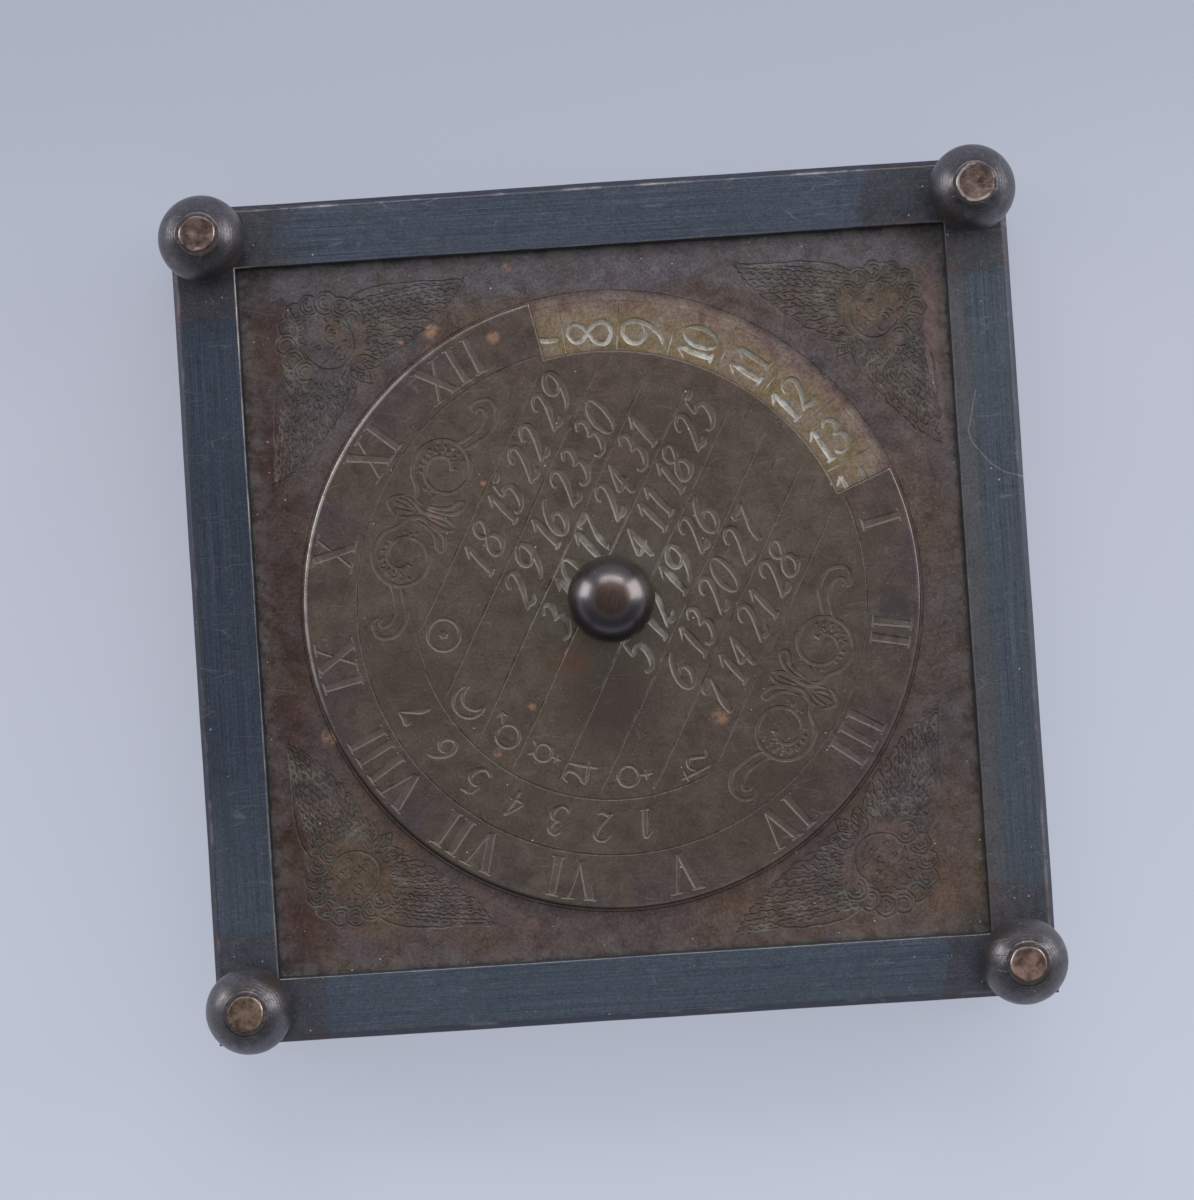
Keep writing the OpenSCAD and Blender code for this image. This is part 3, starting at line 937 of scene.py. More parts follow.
def sink(points, cuts, run=24):
    """How deep every point lies, in millimetres."""
    depth = np.zeros(len(points))
    order = np.argsort(points[:, 0])
    xs = points[order, 0]
    for cut in cuts:
        p, half = cut.points, cut.half
        if cut.closed:
            p, half = np.vstack([p, p[:1]]), np.append(half, half[0])
        lengths = np.linalg.norm(np.diff(p, axis=0), axis=1)
        reached = np.append(0, np.cumsum(lengths))
        for i in range(0, len(p) - 1, run):
            a, h = p[i:i + run + 1], half[i:i + run + 1]
            low, high = a.min(0) - h.max(), a.max(0) + h.max()
            near = order[np.searchsorted(xs, low[0]):np.searchsorted(xs, high[0])]
            near = near[(points[near, 1] >= low[1]) & (points[near, 1] <= high[1])]
            if not len(near):
                continue
            step, size = a[1:] - a[:-1], lengths[i:i + run]
            offset = points[near][:, None] - a[None, :-1]
            t = np.clip((offset * step).sum(2) / np.maximum(size ** 2, 1e-12), 0, 1)
            away = np.linalg.norm(offset - t[..., None] * step, axis=2)
            inside = h[:-1] + (h[1:] - h[:-1]) * t - away
            if cut.blunt:
                gone = reached[i:i + run][:len(size)] + t * size
                inside = np.minimum(inside, np.minimum(gone, reached[-1] - gone))
            depth[near] = np.maximum(depth[near], np.minimum(CUT_FLOOR, cut.slope * inside).max(1))
    return depth


def engrave(loops, cuts):
    """Fills the face between loops[0] and the others: points, triangles, depths, and each loop's rows."""
    points, edges, faces = [], [], []

    def lay(line, closed):
        first = len(points)
        points.extend(line.tolist())
        ids = list(range(first, len(points)))
        edges.extend(zip(ids, ids[1:]))
        if closed:
            edges.append((ids[-1], ids[0]))
        return ids

    for loop in loops:
        faces.append(lay(loop, True))
    for cut in cuts:
        for line, closed in rails(cut):
            lay(line, closed)
    found = delaunay_2d_cdt([Vector(p) for p in points], edges, faces, 0, 1e-5, True)
    vertices, triangles, came_from, inside = found[0], found[2], found[3], found[5]
    flat = np.array([tuple(v) for v in vertices])
    kept = [tuple(t) for t, owner in zip(triangles, inside) if list(owner) == [0]]
    row_of = {}
    for row, sources in enumerate(came_from):
        for source in sources:
            row_of[source] = row
    loop_rows = [[row_of[i] for i in face] for face in faces]
    depth = sink(flat, cuts)
    corners_of = np.array(kept)
    middles = flat[corners_of].mean(axis=1)
    untouched = corners_of[sink(middles, cuts) < UNTOUCHED]
    depth[np.unique(untouched)] = 0.0
    return flat, kept, depth, loop_rows

# %% [markdown]
# ## From a face to a solid
# A plate could be a box with the cuts taken out by booleans, but thousands of crossing cuts make those fail.
# Instead each face is a sheet that already holds its cuts, with a wall down to the middle plane, and two such
# halves are sewn together there.

# %% Build an engraved solid from its two halves
def half_solid(outlines, cuts, height, profile):
    """The upper half: the engraved face, then a wall through (inset, drop) steps down to the middle plane."""
    flat, triangles, depth, rows = engrave(outlines(profile[0][0]), cuts)
    points = [np.column_stack([flat, height - profile[0][1] - depth])]
    faces = list(triangles)
    total = len(flat)
    for inset, drop in (*profile[1:], (0.0, height)):
        ring_rows = []
        for loop, above in zip(outlines(inset), rows):
            points.append(np.column_stack([loop, np.full(len(loop), height - drop)]))
            below = list(range(total, total + len(loop)))
            total += len(loop)
            faces += [(above[i - 1], below[i - 1], below[i], above[i]) for i in range(len(loop))]
            ring_rows.append(below)
        rows = ring_rows
    made = np.vstack(points)
    cut_depth = np.zeros(len(made))
    cut_depth[:len(flat)] = depth
    return made, faces, cut_depth


def turned_over(points):
    return points * np.array([1, -1, -1])


def store(mesh, name, values):
    mesh.attributes.new(name, "FLOAT", "POINT").data.foreach_set("value", np.asarray(values, np.float32))


def mesh_object(name, points, faces, values=None, smooth=False):
    """A mesh in metres from points in millimetres; values become the vertex attribute cut_depth."""
    mesh = bpy.data.meshes.new(name)
    mesh.from_pydata((np.asarray(points) * MM).tolist(), [], faces)
    if values is not None:
        store(mesh, "cut_depth", values)
    mesh.polygons.foreach_set("use_smooth", [smooth] * len(mesh.polygons))
    mesh.update()
    made = bpy.data.objects.new(name, mesh)
    bpy.context.scene.collection.objects.link(made)
    return made


def joined_solid(name, upper, lower, middle_z, over=False):
    """Puts an upper half and a turned-over lower half together at the middle plane, as one closed solid."""
    (up, up_faces, up_cut), (down, down_faces, down_cut) = upper, lower
    down = turned_over(down)
    points = np.vstack([up, down])
    if over:
        points = turned_over(points)
    points[:, 2] += middle_z
    faces = up_faces + [tuple(i + len(up) for i in face) for face in down_faces]
    made = mesh_object(name, points, faces, np.concatenate([up_cut, down_cut]))
    work = bmesh.new()
    work.from_mesh(made.data)
    level = [v for v in work.verts if abs(v.co.z - middle_z * MM) < 1e-8]
    bmesh.ops.remove_doubles(work, verts=level, dist=2e-7)
    bmesh.ops.recalc_face_normals(work, faces=work.faces)
    open_edges = sum(1 for e in work.edges if len(e.link_faces) != 2)
    work.to_mesh(made.data)
    work.free()
    print(f"{name}: {len(made.data.vertices)} vertices, {open_edges} open edges")
    return made

# %% [markdown]
# ## Plate and discs
# The plate is sawn and filed square, and the discs are turned and then cut open for their windows. A worn rim
# isn't a plain bevel, so the front edge of a disc falls away in growing steps.

# %% Make the plate and the discs
SHANK_SHARE = 0.775  # of a pin's head
PIN_HOLE_R = (pin_high.x - PIN_AT) * SHANK_SHARE
ARBOR_R = 1.5
TENON_HOLE_R = 2.42
HOLE_PLAY = 0.02
HOLE_SIDES = 48
SQUARE_STEPS = 40
DISC_STEPS = 720
EDGE_STEPS = ((0.10, 0.0), (0.03, 0.03), (0.0, 0.10))
DISC_BACK = ((0.08, 0.0), (0.0, 0.08))
DISC_EDGE = ((0.34, 0.0), (0.22, 0.02), (0.12, 0.07), (0.05, 0.16), (0.01, 0.28), (0.0, 0.38))


def at_radius(radius, angle):
    return np.stack([radius * np.cos(angle), radius * np.sin(angle)], 1)


def circle(x, y, radius):
    return at_radius(radius, np.arange(HOLE_SIDES) / HOLE_SIDES * TURN) + (x, y)


def square(half):
    t = np.linspace(-half, half, SQUARE_STEPS, endpoint=False)
    edge = np.full(SQUARE_STEPS, half)
    return np.vstack([np.stack([t, -edge], 1), np.stack([edge, t], 1), np.stack([-t, edge], 1),
                      np.stack([-edge, -t], 1)])


def plate_outlines(inset):
    holes = [circle(sx * PIN_AT, sy * PIN_AT, PIN_HOLE_R + HOLE_PLAY) for sx in (-1, 1) for sy in (-1, 1)]
    return [square(PLATE_HALF - inset)] + holes + [circle(0, 0, ARBOR_R + HOLE_PLAY)]


def disc_outline(inset, bearing, angle, window_r, mirror=False):
    """The disc's edge with its window cut out, everything pulled in by inset, and the hole in the middle."""
    outer, inner = DISC_R - inset, window_r - inset
    gap = math.radians(angle / 2)
    outer_gap, inner_gap = gap + math.asin(inset / outer), gap + math.asin(inset / inner)
    middle = math.radians(bearing)
    steps = math.ceil((TURN - 2 * gap) / TURN * DISC_STEPS)
    round_outer = np.linspace(middle + outer_gap, middle + TURN - outer_gap, steps)
    side_out = np.linspace(inner, outer, 12)[1:-1]
    round_inner = np.linspace(middle - inner_gap, middle + inner_gap, max(8, int(angle * 1.5)))
    lean = gap + np.arcsin(inset / side_out)
    rows = [at_radius(outer, round_outer), at_radius(side_out, middle - lean)[::-1],
            at_radius(inner, round_inner), at_radius(side_out, middle + lean)]
    loops = [np.vstack(rows), circle(0, 0, TENON_HOLE_R)]
    if mirror:
        loops = [loop[::-1] * np.array([1, -1]) for loop in loops]
    return loops


def make_disc(name, cuts, window, low, high, over):
    half = (high.z - low.z) / 2
    upper = half_solid(lambda inset: disc_outline(inset, *window), cuts, half, DISC_EDGE)
    lower = half_solid(lambda inset: disc_outline(inset, *window, mirror=True), [], half, DISC_BACK)
    return joined_solid(name, upper, lower, (low.z + high.z) / 2, over)


plate_halves = [half_solid(plate_outlines, drawings[side], PLATE_T / 2, EDGE_STEPS)
                for side in ("plate_front", "plate_rear")]
plate = joined_solid("engraved_plate", *plate_halves, MID_Z)
disc = make_disc("engraved_front_disc", drawings["front_disc"], (WINDOW_BEARING, WINDOW_ANGLE, WINDOW_R),
                 disc_low, disc_high, False)
rear_disc = make_disc("engraved_rear_disc", drawings["rear_disc"], (REAR_BEARING, REAR_ANGLE, REAR_WINDOW_R),
                      rear_disc_low, rear_disc_high, True)

# %% [markdown]
# ## Frame strips
# Each strip is a filed and mitred length of steel: a wide bevel outside, a broken corner inside, and half a
# pin hole in each mitre. It is made as a stack of outlines, so that bevels come out rounded and the edges
# stay a little uneven.

# %% Make the eight strips
OUTER_BEVEL = 0.7
INNER_BEVEL = 0.15
PIN_R = 1.7
EDGE_POINTS = 70
HALF_HOLE_POINTS = 14
STRIP_POINTS = 2 * (EDGE_POINTS + HALF_HOLE_POINTS)
STRIP_STEPS = ((OUTER_BEVEL + .10, INNER_BEVEL + .12, 0.0), (OUTER_BEVEL - .05, INNER_BEVEL + .04, 0.03),
               (OUTER_BEVEL - .35, INNER_BEVEL - .06, 0.34), (.07, .03, 0.64), (0.0, .01, 0.78))


def strip_outline(outer_in, inner_in, seed):
    """The strip along the lower side, as a closed loop, with its two long edges a little wavy."""
    wave = np.random.default_rng(seed)
    phases = wave.uniform(0, TURN, 6)
    outer, inner = FRAME_HALF - outer_in, FRAME_HALF - STRIP_W + inner_in

    def uneven(x, first):
        return sum(np.sin(x / size + phases[first + i]) * high
                   for i, (size, high) in enumerate(((11, .022), (4.3, .012), (1.7, .006))))

    x = np.linspace(-outer, outer, EDGE_POINTS)
    lower = np.stack([x, -outer + .04 + uneven(x, 0)], 1)
    lower[0], lower[-1] = (-outer, -outer), (outer, -outer)
    angles = np.radians(np.linspace(-45, -225, HALF_HOLE_POINTS))
    hole = at_radius(PIN_R + HOLE_PLAY, angles) + (PIN_AT, -PIN_AT)
    x = np.linspace(inner, -inner, EDGE_POINTS)
    upper = np.stack([x, -inner - .03 + uneven(x, 3)], 1)
    upper[0], upper[-1] = (inner, -inner), (-inner, -inner)
    return np.vstack([lower, hole, upper, hole[::-1] * np.array([-1, 1])])


def make_strip(name, turn, over, seed):
    levels = [(a, b, STRIP_T - drop) for a, b, drop in STRIP_STEPS] + [(0.0, 0.0, .06), (.06, .06, 0.0)]
    loops = [np.column_stack([strip_outline(a, b, seed), np.full(STRIP_POINTS, z)]) for a, b, z in levels]
    count = STRIP_POINTS
    faces = [tuple(range(count)), tuple(range(len(loops) * count - 1, (len(loops) - 1) * count - 1, -1))]
    for level in range(len(loops) - 1):
        first, second = level * count, (level + 1) * count
        faces += [(first + i - 1, second + i - 1, second + i, first + i) for i in range(1, count)]
        faces.append((first + count - 1, second + count - 1, second, first))
    points = np.vstack(loops)
    length, across = points[:, 0].copy(), FRAME_HALF + points[:, 1]
    c, s = math.cos(math.radians(turn)), math.sin(math.radians(turn))
    turned = np.column_stack([c * points[:, 0] - s * points[:, 1], s * points[:, 0] + c * points[:, 1],
                              points[:, 2] + PLATE_T / 2])
    if over:
        turned = turned_over(turned)
    turned[:, 2] += MID_Z
    made = mesh_object(name, turned, faces)
    store(made.data, "strip_length", length)
    store(made.data, "strip_across", across)
    return made


SIDES = {"bottom": 0, "right": 90, "top": 180, "left": 270}
REAR_SIDES = {"top": 0, "right": 90, "bottom": 180, "left": 270}
strips = {}
for over, sides in ((False, SIDES), (True, REAR_SIDES)):
    for side_name, turn in sides.items():
        node = ("rear" if over else "front") + "_strip_" + side_name
        strips[node] = make_strip("blued_" + node, turn, over, len(strips) + 11)
        centre = sum(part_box(node), Vector()) / 2
        mine = sum((Vector(c) for c in strips[node].bound_box), Vector()) / 8
        print(node, "off by", round((centre - mine).length / MM, 2), "mm")

# %% [markdown]
# ## Turned parts
# Balls, knobs, pins and the arbor come off a lathe, so each is a profile of (radius, height) turned about its
# axis. The balls are bored for their pins. The pins' ends were hammered flat by hand, so those are uneven in
# outline and top.

# %% Turn a profile
def turned(name, profile, x=0.0, y=0.0, over=False, segments=112, tool=0.0):
    """A solid from a profile that starts and ends on the axis, or else closes on itself."""
    rng = np.random.default_rng(len(name) * 7 + int(abs(x)) + int(abs(y) * 3))
    on_axis = profile[0][0] == 0 and profile[-1][0] == 0
    body = profile[1:-1] if on_axis else profile
    angle = np.arange(segments) / segments * TURN
    points, faces = [], []
    shake = rng.uniform(0, TURN, 3)
    for r, z in body:
        oval, lobed = (1 + np.sin(times * angle + phase) for times, phase in zip((2, 3), shake))
        grown = r * (1 - tool * oval - tool / 2 * lobed)
        points.append(np.column_stack([grown * np.cos(angle), grown * np.sin(angle), np.full(segments, z)]))
    rows = len(body)
    for row in range(rows if not on_axis else rows - 1):
        a, b = row * segments, (row + 1) % rows * segments
        faces += [(a + i - 1, a + i, b + i, b + i - 1) for i in range(1, segments)]
        faces.append((a + segments - 1, a, b, b + segments - 1))
    made = np.vstack(points)
    if on_axis:
        made = np.vstack([made, [(0, 0, profile[0][1]), (0, 0, profile[-1][1])]])
        top, bottom = len(made) - 2, len(made) - 1
        last = (rows - 1) * segments
        faces += [(top, i, i - 1 if i else segments - 1) for i in range(segments)]
        faces += [(bottom, last + (i - 1 if i else segments - 1), last + i) for i in range(segments)]
    made[:, 0] += x
    made[:, 1] += -y if over else y
    if over:
        made = turned_over(made)
    made[:, 2] += MID_Z
    shape = mesh_object(name, made, faces, smooth=True)
    work = bmesh.new()
    work.from_mesh(shape.data)
    bmesh.ops.recalc_face_normals(work, faces=work.faces)
    for edge in work.edges:
        edge.smooth = edge.calc_face_angle(0) < math.radians(32)
    work.to_mesh(shape.data)
    work.free()
    return shape


def sphere_rows(radius, centre_z, low, high, count):
    """Profile points on a ball between two heights above its middle."""
    first, last = math.asin(high / radius), math.asin(low / radius)
    return [(radius * math.cos(a), centre_z + radius * math.sin(a)) for a in np.linspace(first, last, count)]

# %% [markdown]
# ## Balls and pins
# Each ball is bored and seats a pin's head on a small flat. The pin goes through both balls and the frame and
# is hammered over at its ends, so its faces get a few shallow dents and a squeezed outline.

# %% Make the corner balls and pins
BALL_BASE = PLATE_T / 2 + STRIP_T
BALL_TOP = 4.65
BALL_CENTRE = ball_high.z - MID_Z - BALL_TOP
COLLAR_R = 2.7
FOOT_R = 3.2
FOOT_H = 0.4
BALL_WOBBLE = .0015  # how far a turned part is from round, as a share of its radius
PIN_END = pin_high.z - MID_Z
PIN_HEAD_H = 0.4
SHANK_ROW = 4.0  # a row of points this far above and below the middle of a pin's shank
PIN_OFF_SIZE = {"upper_right": .22}  # one pin's end was hammered out wider
DENTS = 14
DENTS_REACH = 2.2
DENT_DEPTH = 0.10
DEEPEST_DENT = 0.16


def ball_profile():
    """The bore, a flat seat for the pin's head, a soft shoulder, the ball, and a short foot on the strip."""
    top = BALL_CENTRE + BALL_TOP
    shoulder = [(COLLAR_R - .30, 0), (COLLAR_R - .14, .04), (COLLAR_R - .02, .12), (COLLAR_R + .08, .23),
                (COLLAR_R + .22, .36), (COLLAR_R + .40, .52)]
    rows = [(PIN_R + HOLE_PLAY, top - .05), (PIN_R + .10, top - .01), (PIN_HEAD_R - .1, top)]
    rows += [(r, top - drop) for r, drop in shoulder]
    lip = math.sqrt(BALL_R ** 2 - (COLLAR_R + .62) ** 2)
    rows += sphere_rows(BALL_R, BALL_CENTRE, FOOT_H + BALL_BASE - BALL_CENTRE, lip, 40)
    rows += [(FOOT_R - .06, BALL_BASE + FOOT_H - .06), (FOOT_R - .05, BALL_BASE + .12),
             (FOOT_R - .12, BALL_BASE + .03), (FOOT_R - .25, BALL_BASE), (PIN_R + .10, BALL_BASE),
             (PIN_R + HOLE_PLAY, BALL_BASE + .05)]
    return rows


def pin_profile(head_r):
    rows = [(0, PIN_END - .05)]
    for r in (.35, .7, 1.05, 1.4, 1.7, head_r - .3):
        rows.append((r, PIN_END - .05 + .04 * (r / head_r) ** 2))
    rows += [(head_r - .14, PIN_END - .03), (head_r - .03, PIN_END - .12), (head_r, PIN_END - .24),
             (head_r - .03, PIN_END - PIN_HEAD_H + .02), (PIN_R, PIN_END - PIN_HEAD_H + .005)]
    shank = [(PIN_R, z) for z in (SHANK_ROW, 0.0, -SHANK_ROW)]
    return rows + shank + [(r, -z) for r, z in rows[::-1]]


def hammer(shape, x, y, seed):
    """Dents the flat ends of a pin and leaves their outline uneven."""
    rng = np.random.default_rng(seed)
    spots = rng.uniform(-DENTS_REACH, DENTS_REACH, (DENTS, 2))
    sizes = rng.uniform(.5, 1.1, DENTS)
    deep = rng.uniform(.3, 1.0, DENTS) * DENT_DEPTH
    phase = rng.uniform(0, TURN, 4)
    for v in shape.data.vertices:
        px, py, pz = v.co.x / MM - x, v.co.y / MM - y, v.co.z / MM - MID_Z
        if abs(pz) < PIN_END - PIN_HEAD_H - .01:
            continue
        angle, r = math.atan2(py, px), math.hypot(px, py)
        if r > PIN_R + .05:
            oval, lobed = (1 + math.sin(times * angle + start) for times, start in zip((2, 5), phase))
            squeeze = 1 - .030 * oval - .016 * lobed
            v.co.x, v.co.y = (x + px * squeeze) * MM, (y + py * squeeze) * MM
        low = sum(d * math.exp(-((px - sx) ** 2 + (py - sy) ** 2) / s ** 2)
                  for (sx, sy), s, d in zip(spots, sizes, deep))
        if abs(pz) > PIN_END - .2:
            v.co.z -= math.copysign(min(low, DEEPEST_DENT) * MM, pz)


CORNERS = {"upper_left": (-1, 1), "upper_right": (1, 1), "lower_left": (-1, -1), "lower_right": (1, -1)}
balls, pins = {}, {}
for seed, (corner, (sx, sy)) in enumerate(CORNERS.items()):
    x, y = sx * PIN_AT, sy * PIN_AT
    for side, over in (("front", False), ("rear", True)):
        node = side + "_ball_" + corner
        balls[node] = turned("turned_" + node, ball_profile(), x, y, over, tool=BALL_WOBBLE)
    pin = turned("hammered_pin_" + corner, pin_profile(PIN_HEAD_R + PIN_OFF_SIZE.get(corner, 0)), x, y)
    hammer(pin, x, y, seed + 3)
    pins["corner_pin_" + corner] = pin

# %% [markdown]
# ## Knobs and arbor
# A knob is a ball with a stepped foot that sits in the disc's hole. The arbor goes through the plate from the
# front knob and is riveted at the rear, which leaves both discs free to turn.

# %% Make the knobs and the arbor
KNOB_CENTRE = KNOB_TOP + PLATE_T / 2 - KNOB_R
TENON_R = 2.4
DISC_LOW = disc_low.z - MID_Z
DISC_TOP = disc_high.z - MID_Z
KNOB_FOOT_R = 3.4
KNOB_FOOT_H = 0.3
BORE_R = ARBOR_R + HOLE_PLAY
ARBOR_TOP = arbor_high.z - MID_Z
# The knob's top is painted with a dark reflection out to this radius.
DARK_REFLECTION_R = 2.3
FLAT_TOP = MID_Z - rear_knob_low.z


def knob_foot(bore_r):
    low = DISC_TOP + KNOB_FOOT_H
    return [(KNOB_FOOT_R - .10, low), (KNOB_FOOT_R - .03, low - .08), (KNOB_FOOT_R - .03, DISC_TOP + .08),
            (KNOB_FOOT_R - .12, DISC_TOP + .01), (TENON_R, DISC_TOP + .01), (TENON_R, DISC_LOW + .05),
            (TENON_R - .08, DISC_LOW), (bore_r, DISC_LOW)]


def knob_profile():
    low = DISC_TOP + KNOB_FOOT_H - KNOB_CENTRE
    rows = [(0, KNOB_CENTRE + KNOB_R)] + sphere_rows(KNOB_R, KNOB_CENTRE, low, KNOB_R - .002, 64)
    return rows + knob_foot(BORE_R) + [(BORE_R, ARBOR_TOP + .02), (0, ARBOR_TOP + .02)]


def rear_knob_profile():
    flat = FLAT_TOP - KNOB_CENTRE
    rim = math.sqrt(KNOB_R ** 2 - flat ** 2)
    rows = [(BORE_R + .03, FLAT_TOP - .03), (BORE_R + .09, FLAT_TOP), (rim - .25, FLAT_TOP),
            (rim - .10, FLAT_TOP - .02)]
    rows += sphere_rows(KNOB_R, KNOB_CENTRE, DISC_TOP + KNOB_FOOT_H - KNOB_CENTRE, flat - .07, 50)
    return rows + knob_foot(BORE_R + .03)


def arbor_profile():
    end, head = MID_Z - arbor_low.z, ARBOR_HEAD_R
    return [(0, end - .04), (.8, end - .03), (head - .25, end - .01), (head - .08, end - .06),
            (head, end - .16), (head - .03, end - .33), (ARBOR_R, end - .34), (ARBOR_R, SHANK_ROW),
            (ARBOR_R, -SHANK_ROW), (ARBOR_R, -ARBOR_TOP + .15), (ARBOR_R - .15, -ARBOR_TOP), (0, -ARBOR_TOP)]


knob = turned("polished_front_knob", knob_profile(), segments=160, tool=.0008)
rear_knob = turned("polished_rear_knob", rear_knob_profile(), over=True, segments=160, tool=.0008)
arbor = turned("riveted_arbor", arbor_profile(), over=True)
print("turned parts:", len(balls), "balls,", len(pins), "pins, 2 knobs, 1 arbor")

# %% [markdown]
# ## Finishes
# The surfaces are old: brown tarnish on the brass, heat blue on the steel, dust in the corners and pale dirt
# in the cuts. The effects that several finishes need are made once as node groups, each of which gives plain
# masks.

# %% Make the shared effects
SOCKET_KINDS = {"Place": "Vector", "Centre": "Vector", "From": "Vector", "To": "Vector", "Colour": "Color"}


def effect(name, inputs, outputs, build):
    """A node group: the names of its inputs and outputs; build gets a Wiring that knows the inputs."""
    tree = bpy.data.node_groups.new(name, "ShaderNodeTree")
    for labels, way in ((inputs, "INPUT"), (outputs, "OUTPUT")):
        for label in labels.split():
            kind = "NodeSocket" + SOCKET_KINDS.get(label, "Float")
            tree.interface.new_socket(name=label, in_out=way, socket_type=kind)
    wiring = Wiring(tree)
    wiring.given = tree.nodes.new("NodeGroupInput").outputs
    wiring.place = wiring.given.get("Place")
    results = build(wiring)
    taken = tree.nodes.new("NodeGroupOutput")
    for label in outputs.split():
        tree.links.new(results[label], taken.inputs[label])
    return tree


def build_tarnish(w):
    clouds = w.cloud((.055, 5, .6, .6), .36, .64, smooth=True)
    mottle = w.noise(w.place, .42, 6, .62, .4)
    grain = w.noise(w.place, 3.2, 3, .6)
    worn = w.cloud((.16, 4, .5, .9), .63, .72, smooth=True)
    return {"Clouds": clouds, "Mottle": mottle, "Grain": grain, "Worn": worn}


def build_dust(w):
    """Specks of two sizes; a cell of the pattern holds one where its random red is below the amount."""
    layers = []
    for scale, smallest, largest in ((1.15, .03, .13), (3.1, .12, .12)):
        cells = w.add("TexVoronoi", {"Vector": w.place, "Scale": scale}, feature="F1").outputs
        pick = w.add("SeparateColor", {0: cells["Color"]}).outputs
        near = w.math("LESS_THAN", cells["Distance"], w.fade(pick[1], 0, 1, smallest, largest))
        layers.append(w.times(near, w.math("LESS_THAN", pick[0], w.given["Amount"])))
    return {"Specks": w.most(*layers)}


def build_scratches(w):
    lines = []
    for angle, stretch, seed in ((.35, .09, 3.0), (-1.2, .12, 11.0)):
        turned_place = w.add("Mapping", {"Vector": w.place, "Location": (seed, seed * 2, 0),
                                         "Rotation": (0, 0, angle), "Scale": (stretch, .8, .3)}).outputs[0]
        waver = w.add("TexNoise", {"Vector": w.place, "Scale": .05}).outputs["Color"]
        cells = w.add("TexVoronoi", {"Vector": w.vector("ADD", turned_place, waver), "Scale": 1.0},
                      feature="DISTANCE_TO_EDGE")
        thin = w.fade(cells.outputs["Distance"], .0, .022, 1, 0)
        gate = w.cloud((.3 + .02 * angle, 1), .58, .66)
        lines.append(w.times(thin, gate))
    return {"Lines": w.most(*lines)}


def build_cut(w):
    depth = w.add("Attribute", attribute_name="cut_depth", attribute_type="GEOMETRY").outputs["Fac"]
    patchy = w.cloud((.5, 4, .6), .34, .58, .25, 1)
    inside = w.fade(depth, .002, .03)
    floor_part = w.fade(depth, .105, .128)
    filled = w.times(inside, patchy)
    walls = w.times(filled, w.fade(floor_part, 0, 1, 1, .12))
    return {"Filled": filled, "Walls": walls, "Floor": w.times(patchy, floor_part)}


def build_shaded(w):
    """The colour made darker and lighter in patches and grains, by up to the given strength either way."""
    low, high = w.minus(1.0, w.given["Strength"]), w.plus(1.0, w.given["Strength"])
    much = w.times(*(w.fade(w.given[name], .3, .7, low, high) for name in ("Mottle", "Grain")))
    grey = w.add("CombineColor", {0: much, 1: much, 2: much}).outputs[0]
    return {"Colour": w.blend(1.0, w.given["Colour"], grey, "MULTIPLY")}


def build_spot(w):
    """1 near a place in millimetres, fading out over a ragged edge."""
    away = w.vector("SUBTRACT", w.place, w.given["Centre"])
    flat = w.vector("MULTIPLY", away, (1, 1, 0))
    distance = w.vector("LENGTH", flat)
    share = w.math("DIVIDE", distance, w.given["Radius"])
    near = w.fade(share, .5, 1.5, 1, 0, True)
    return {"Mask": w.times(near, w.cloud((.9, 4, .65), .40, .58))}


def build_scratch_line(w):
    """A straight scratch between two places, found as the distance to the nearest point between them."""
    flat = w.vector("MULTIPLY", w.place, (1, 1, 0))
    reach = w.vector("SUBTRACT", w.given["To"], w.given["From"])
    offset = w.vector("SUBTRACT", flat, w.given["From"])
    dots = [w.vector("DOT_PRODUCT", first, reach) for first in (offset, reach)]
    share = w.math("DIVIDE", *dots, clamp=True)
    nearest = w.add("VectorMath", {0: reach, "Scale": share}, operation="SCALE").outputs[0]
    away = w.vector("DISTANCE", offset, nearest)
    return {"Mask": w.fade(away, .04, .10, 1, 0)}


def build_lathe_rings(w):
    height = w.add("SeparateXYZ", {0: w.place}).outputs["Z"]
    wave = w.math("SINE", w.math("DIVIDE", w.times(height, TURN), w.given["Pitch"]))
    return {"Height": w.times(wave, w.noise(w.place, .8, 3))}


tarnish = effect("tarnish", "Place", "Clouds Mottle Grain Worn", build_tarnish)
dust = effect("dust", "Place Amount", "Specks", build_dust)
scratches = effect("scratches", "Place", "Lines", build_scratches)
cut_marks = effect("cut_marks", "Place", "Filled Walls Floor", build_cut)
shaded = effect("shaded", "Colour Mottle Grain Strength", "Colour", build_shaded)
spot_mark = effect("spot_mark", "Place Centre Radius", "Mask", build_spot)
scratch_line = effect("scratch_line", "Place From To", "Mask", build_scratch_line)
lathe_rings = effect("lathe_rings", "Place Pitch", "Height", build_lathe_rings)
print("effects:", ", ".join(g.name for g in bpy.data.node_groups))


# %% [markdown]
# Each finish starts from the place on the piece in millimetres, so its marks keep their real size and stay
# with the piece when it turns.

# %% Prepare the finishes
DUST_GREY = (.42, .42, .43)
LIGHT_DUST = .07
RELIEF = .016  # mm that a finish rises and sinks, unless it says otherwise


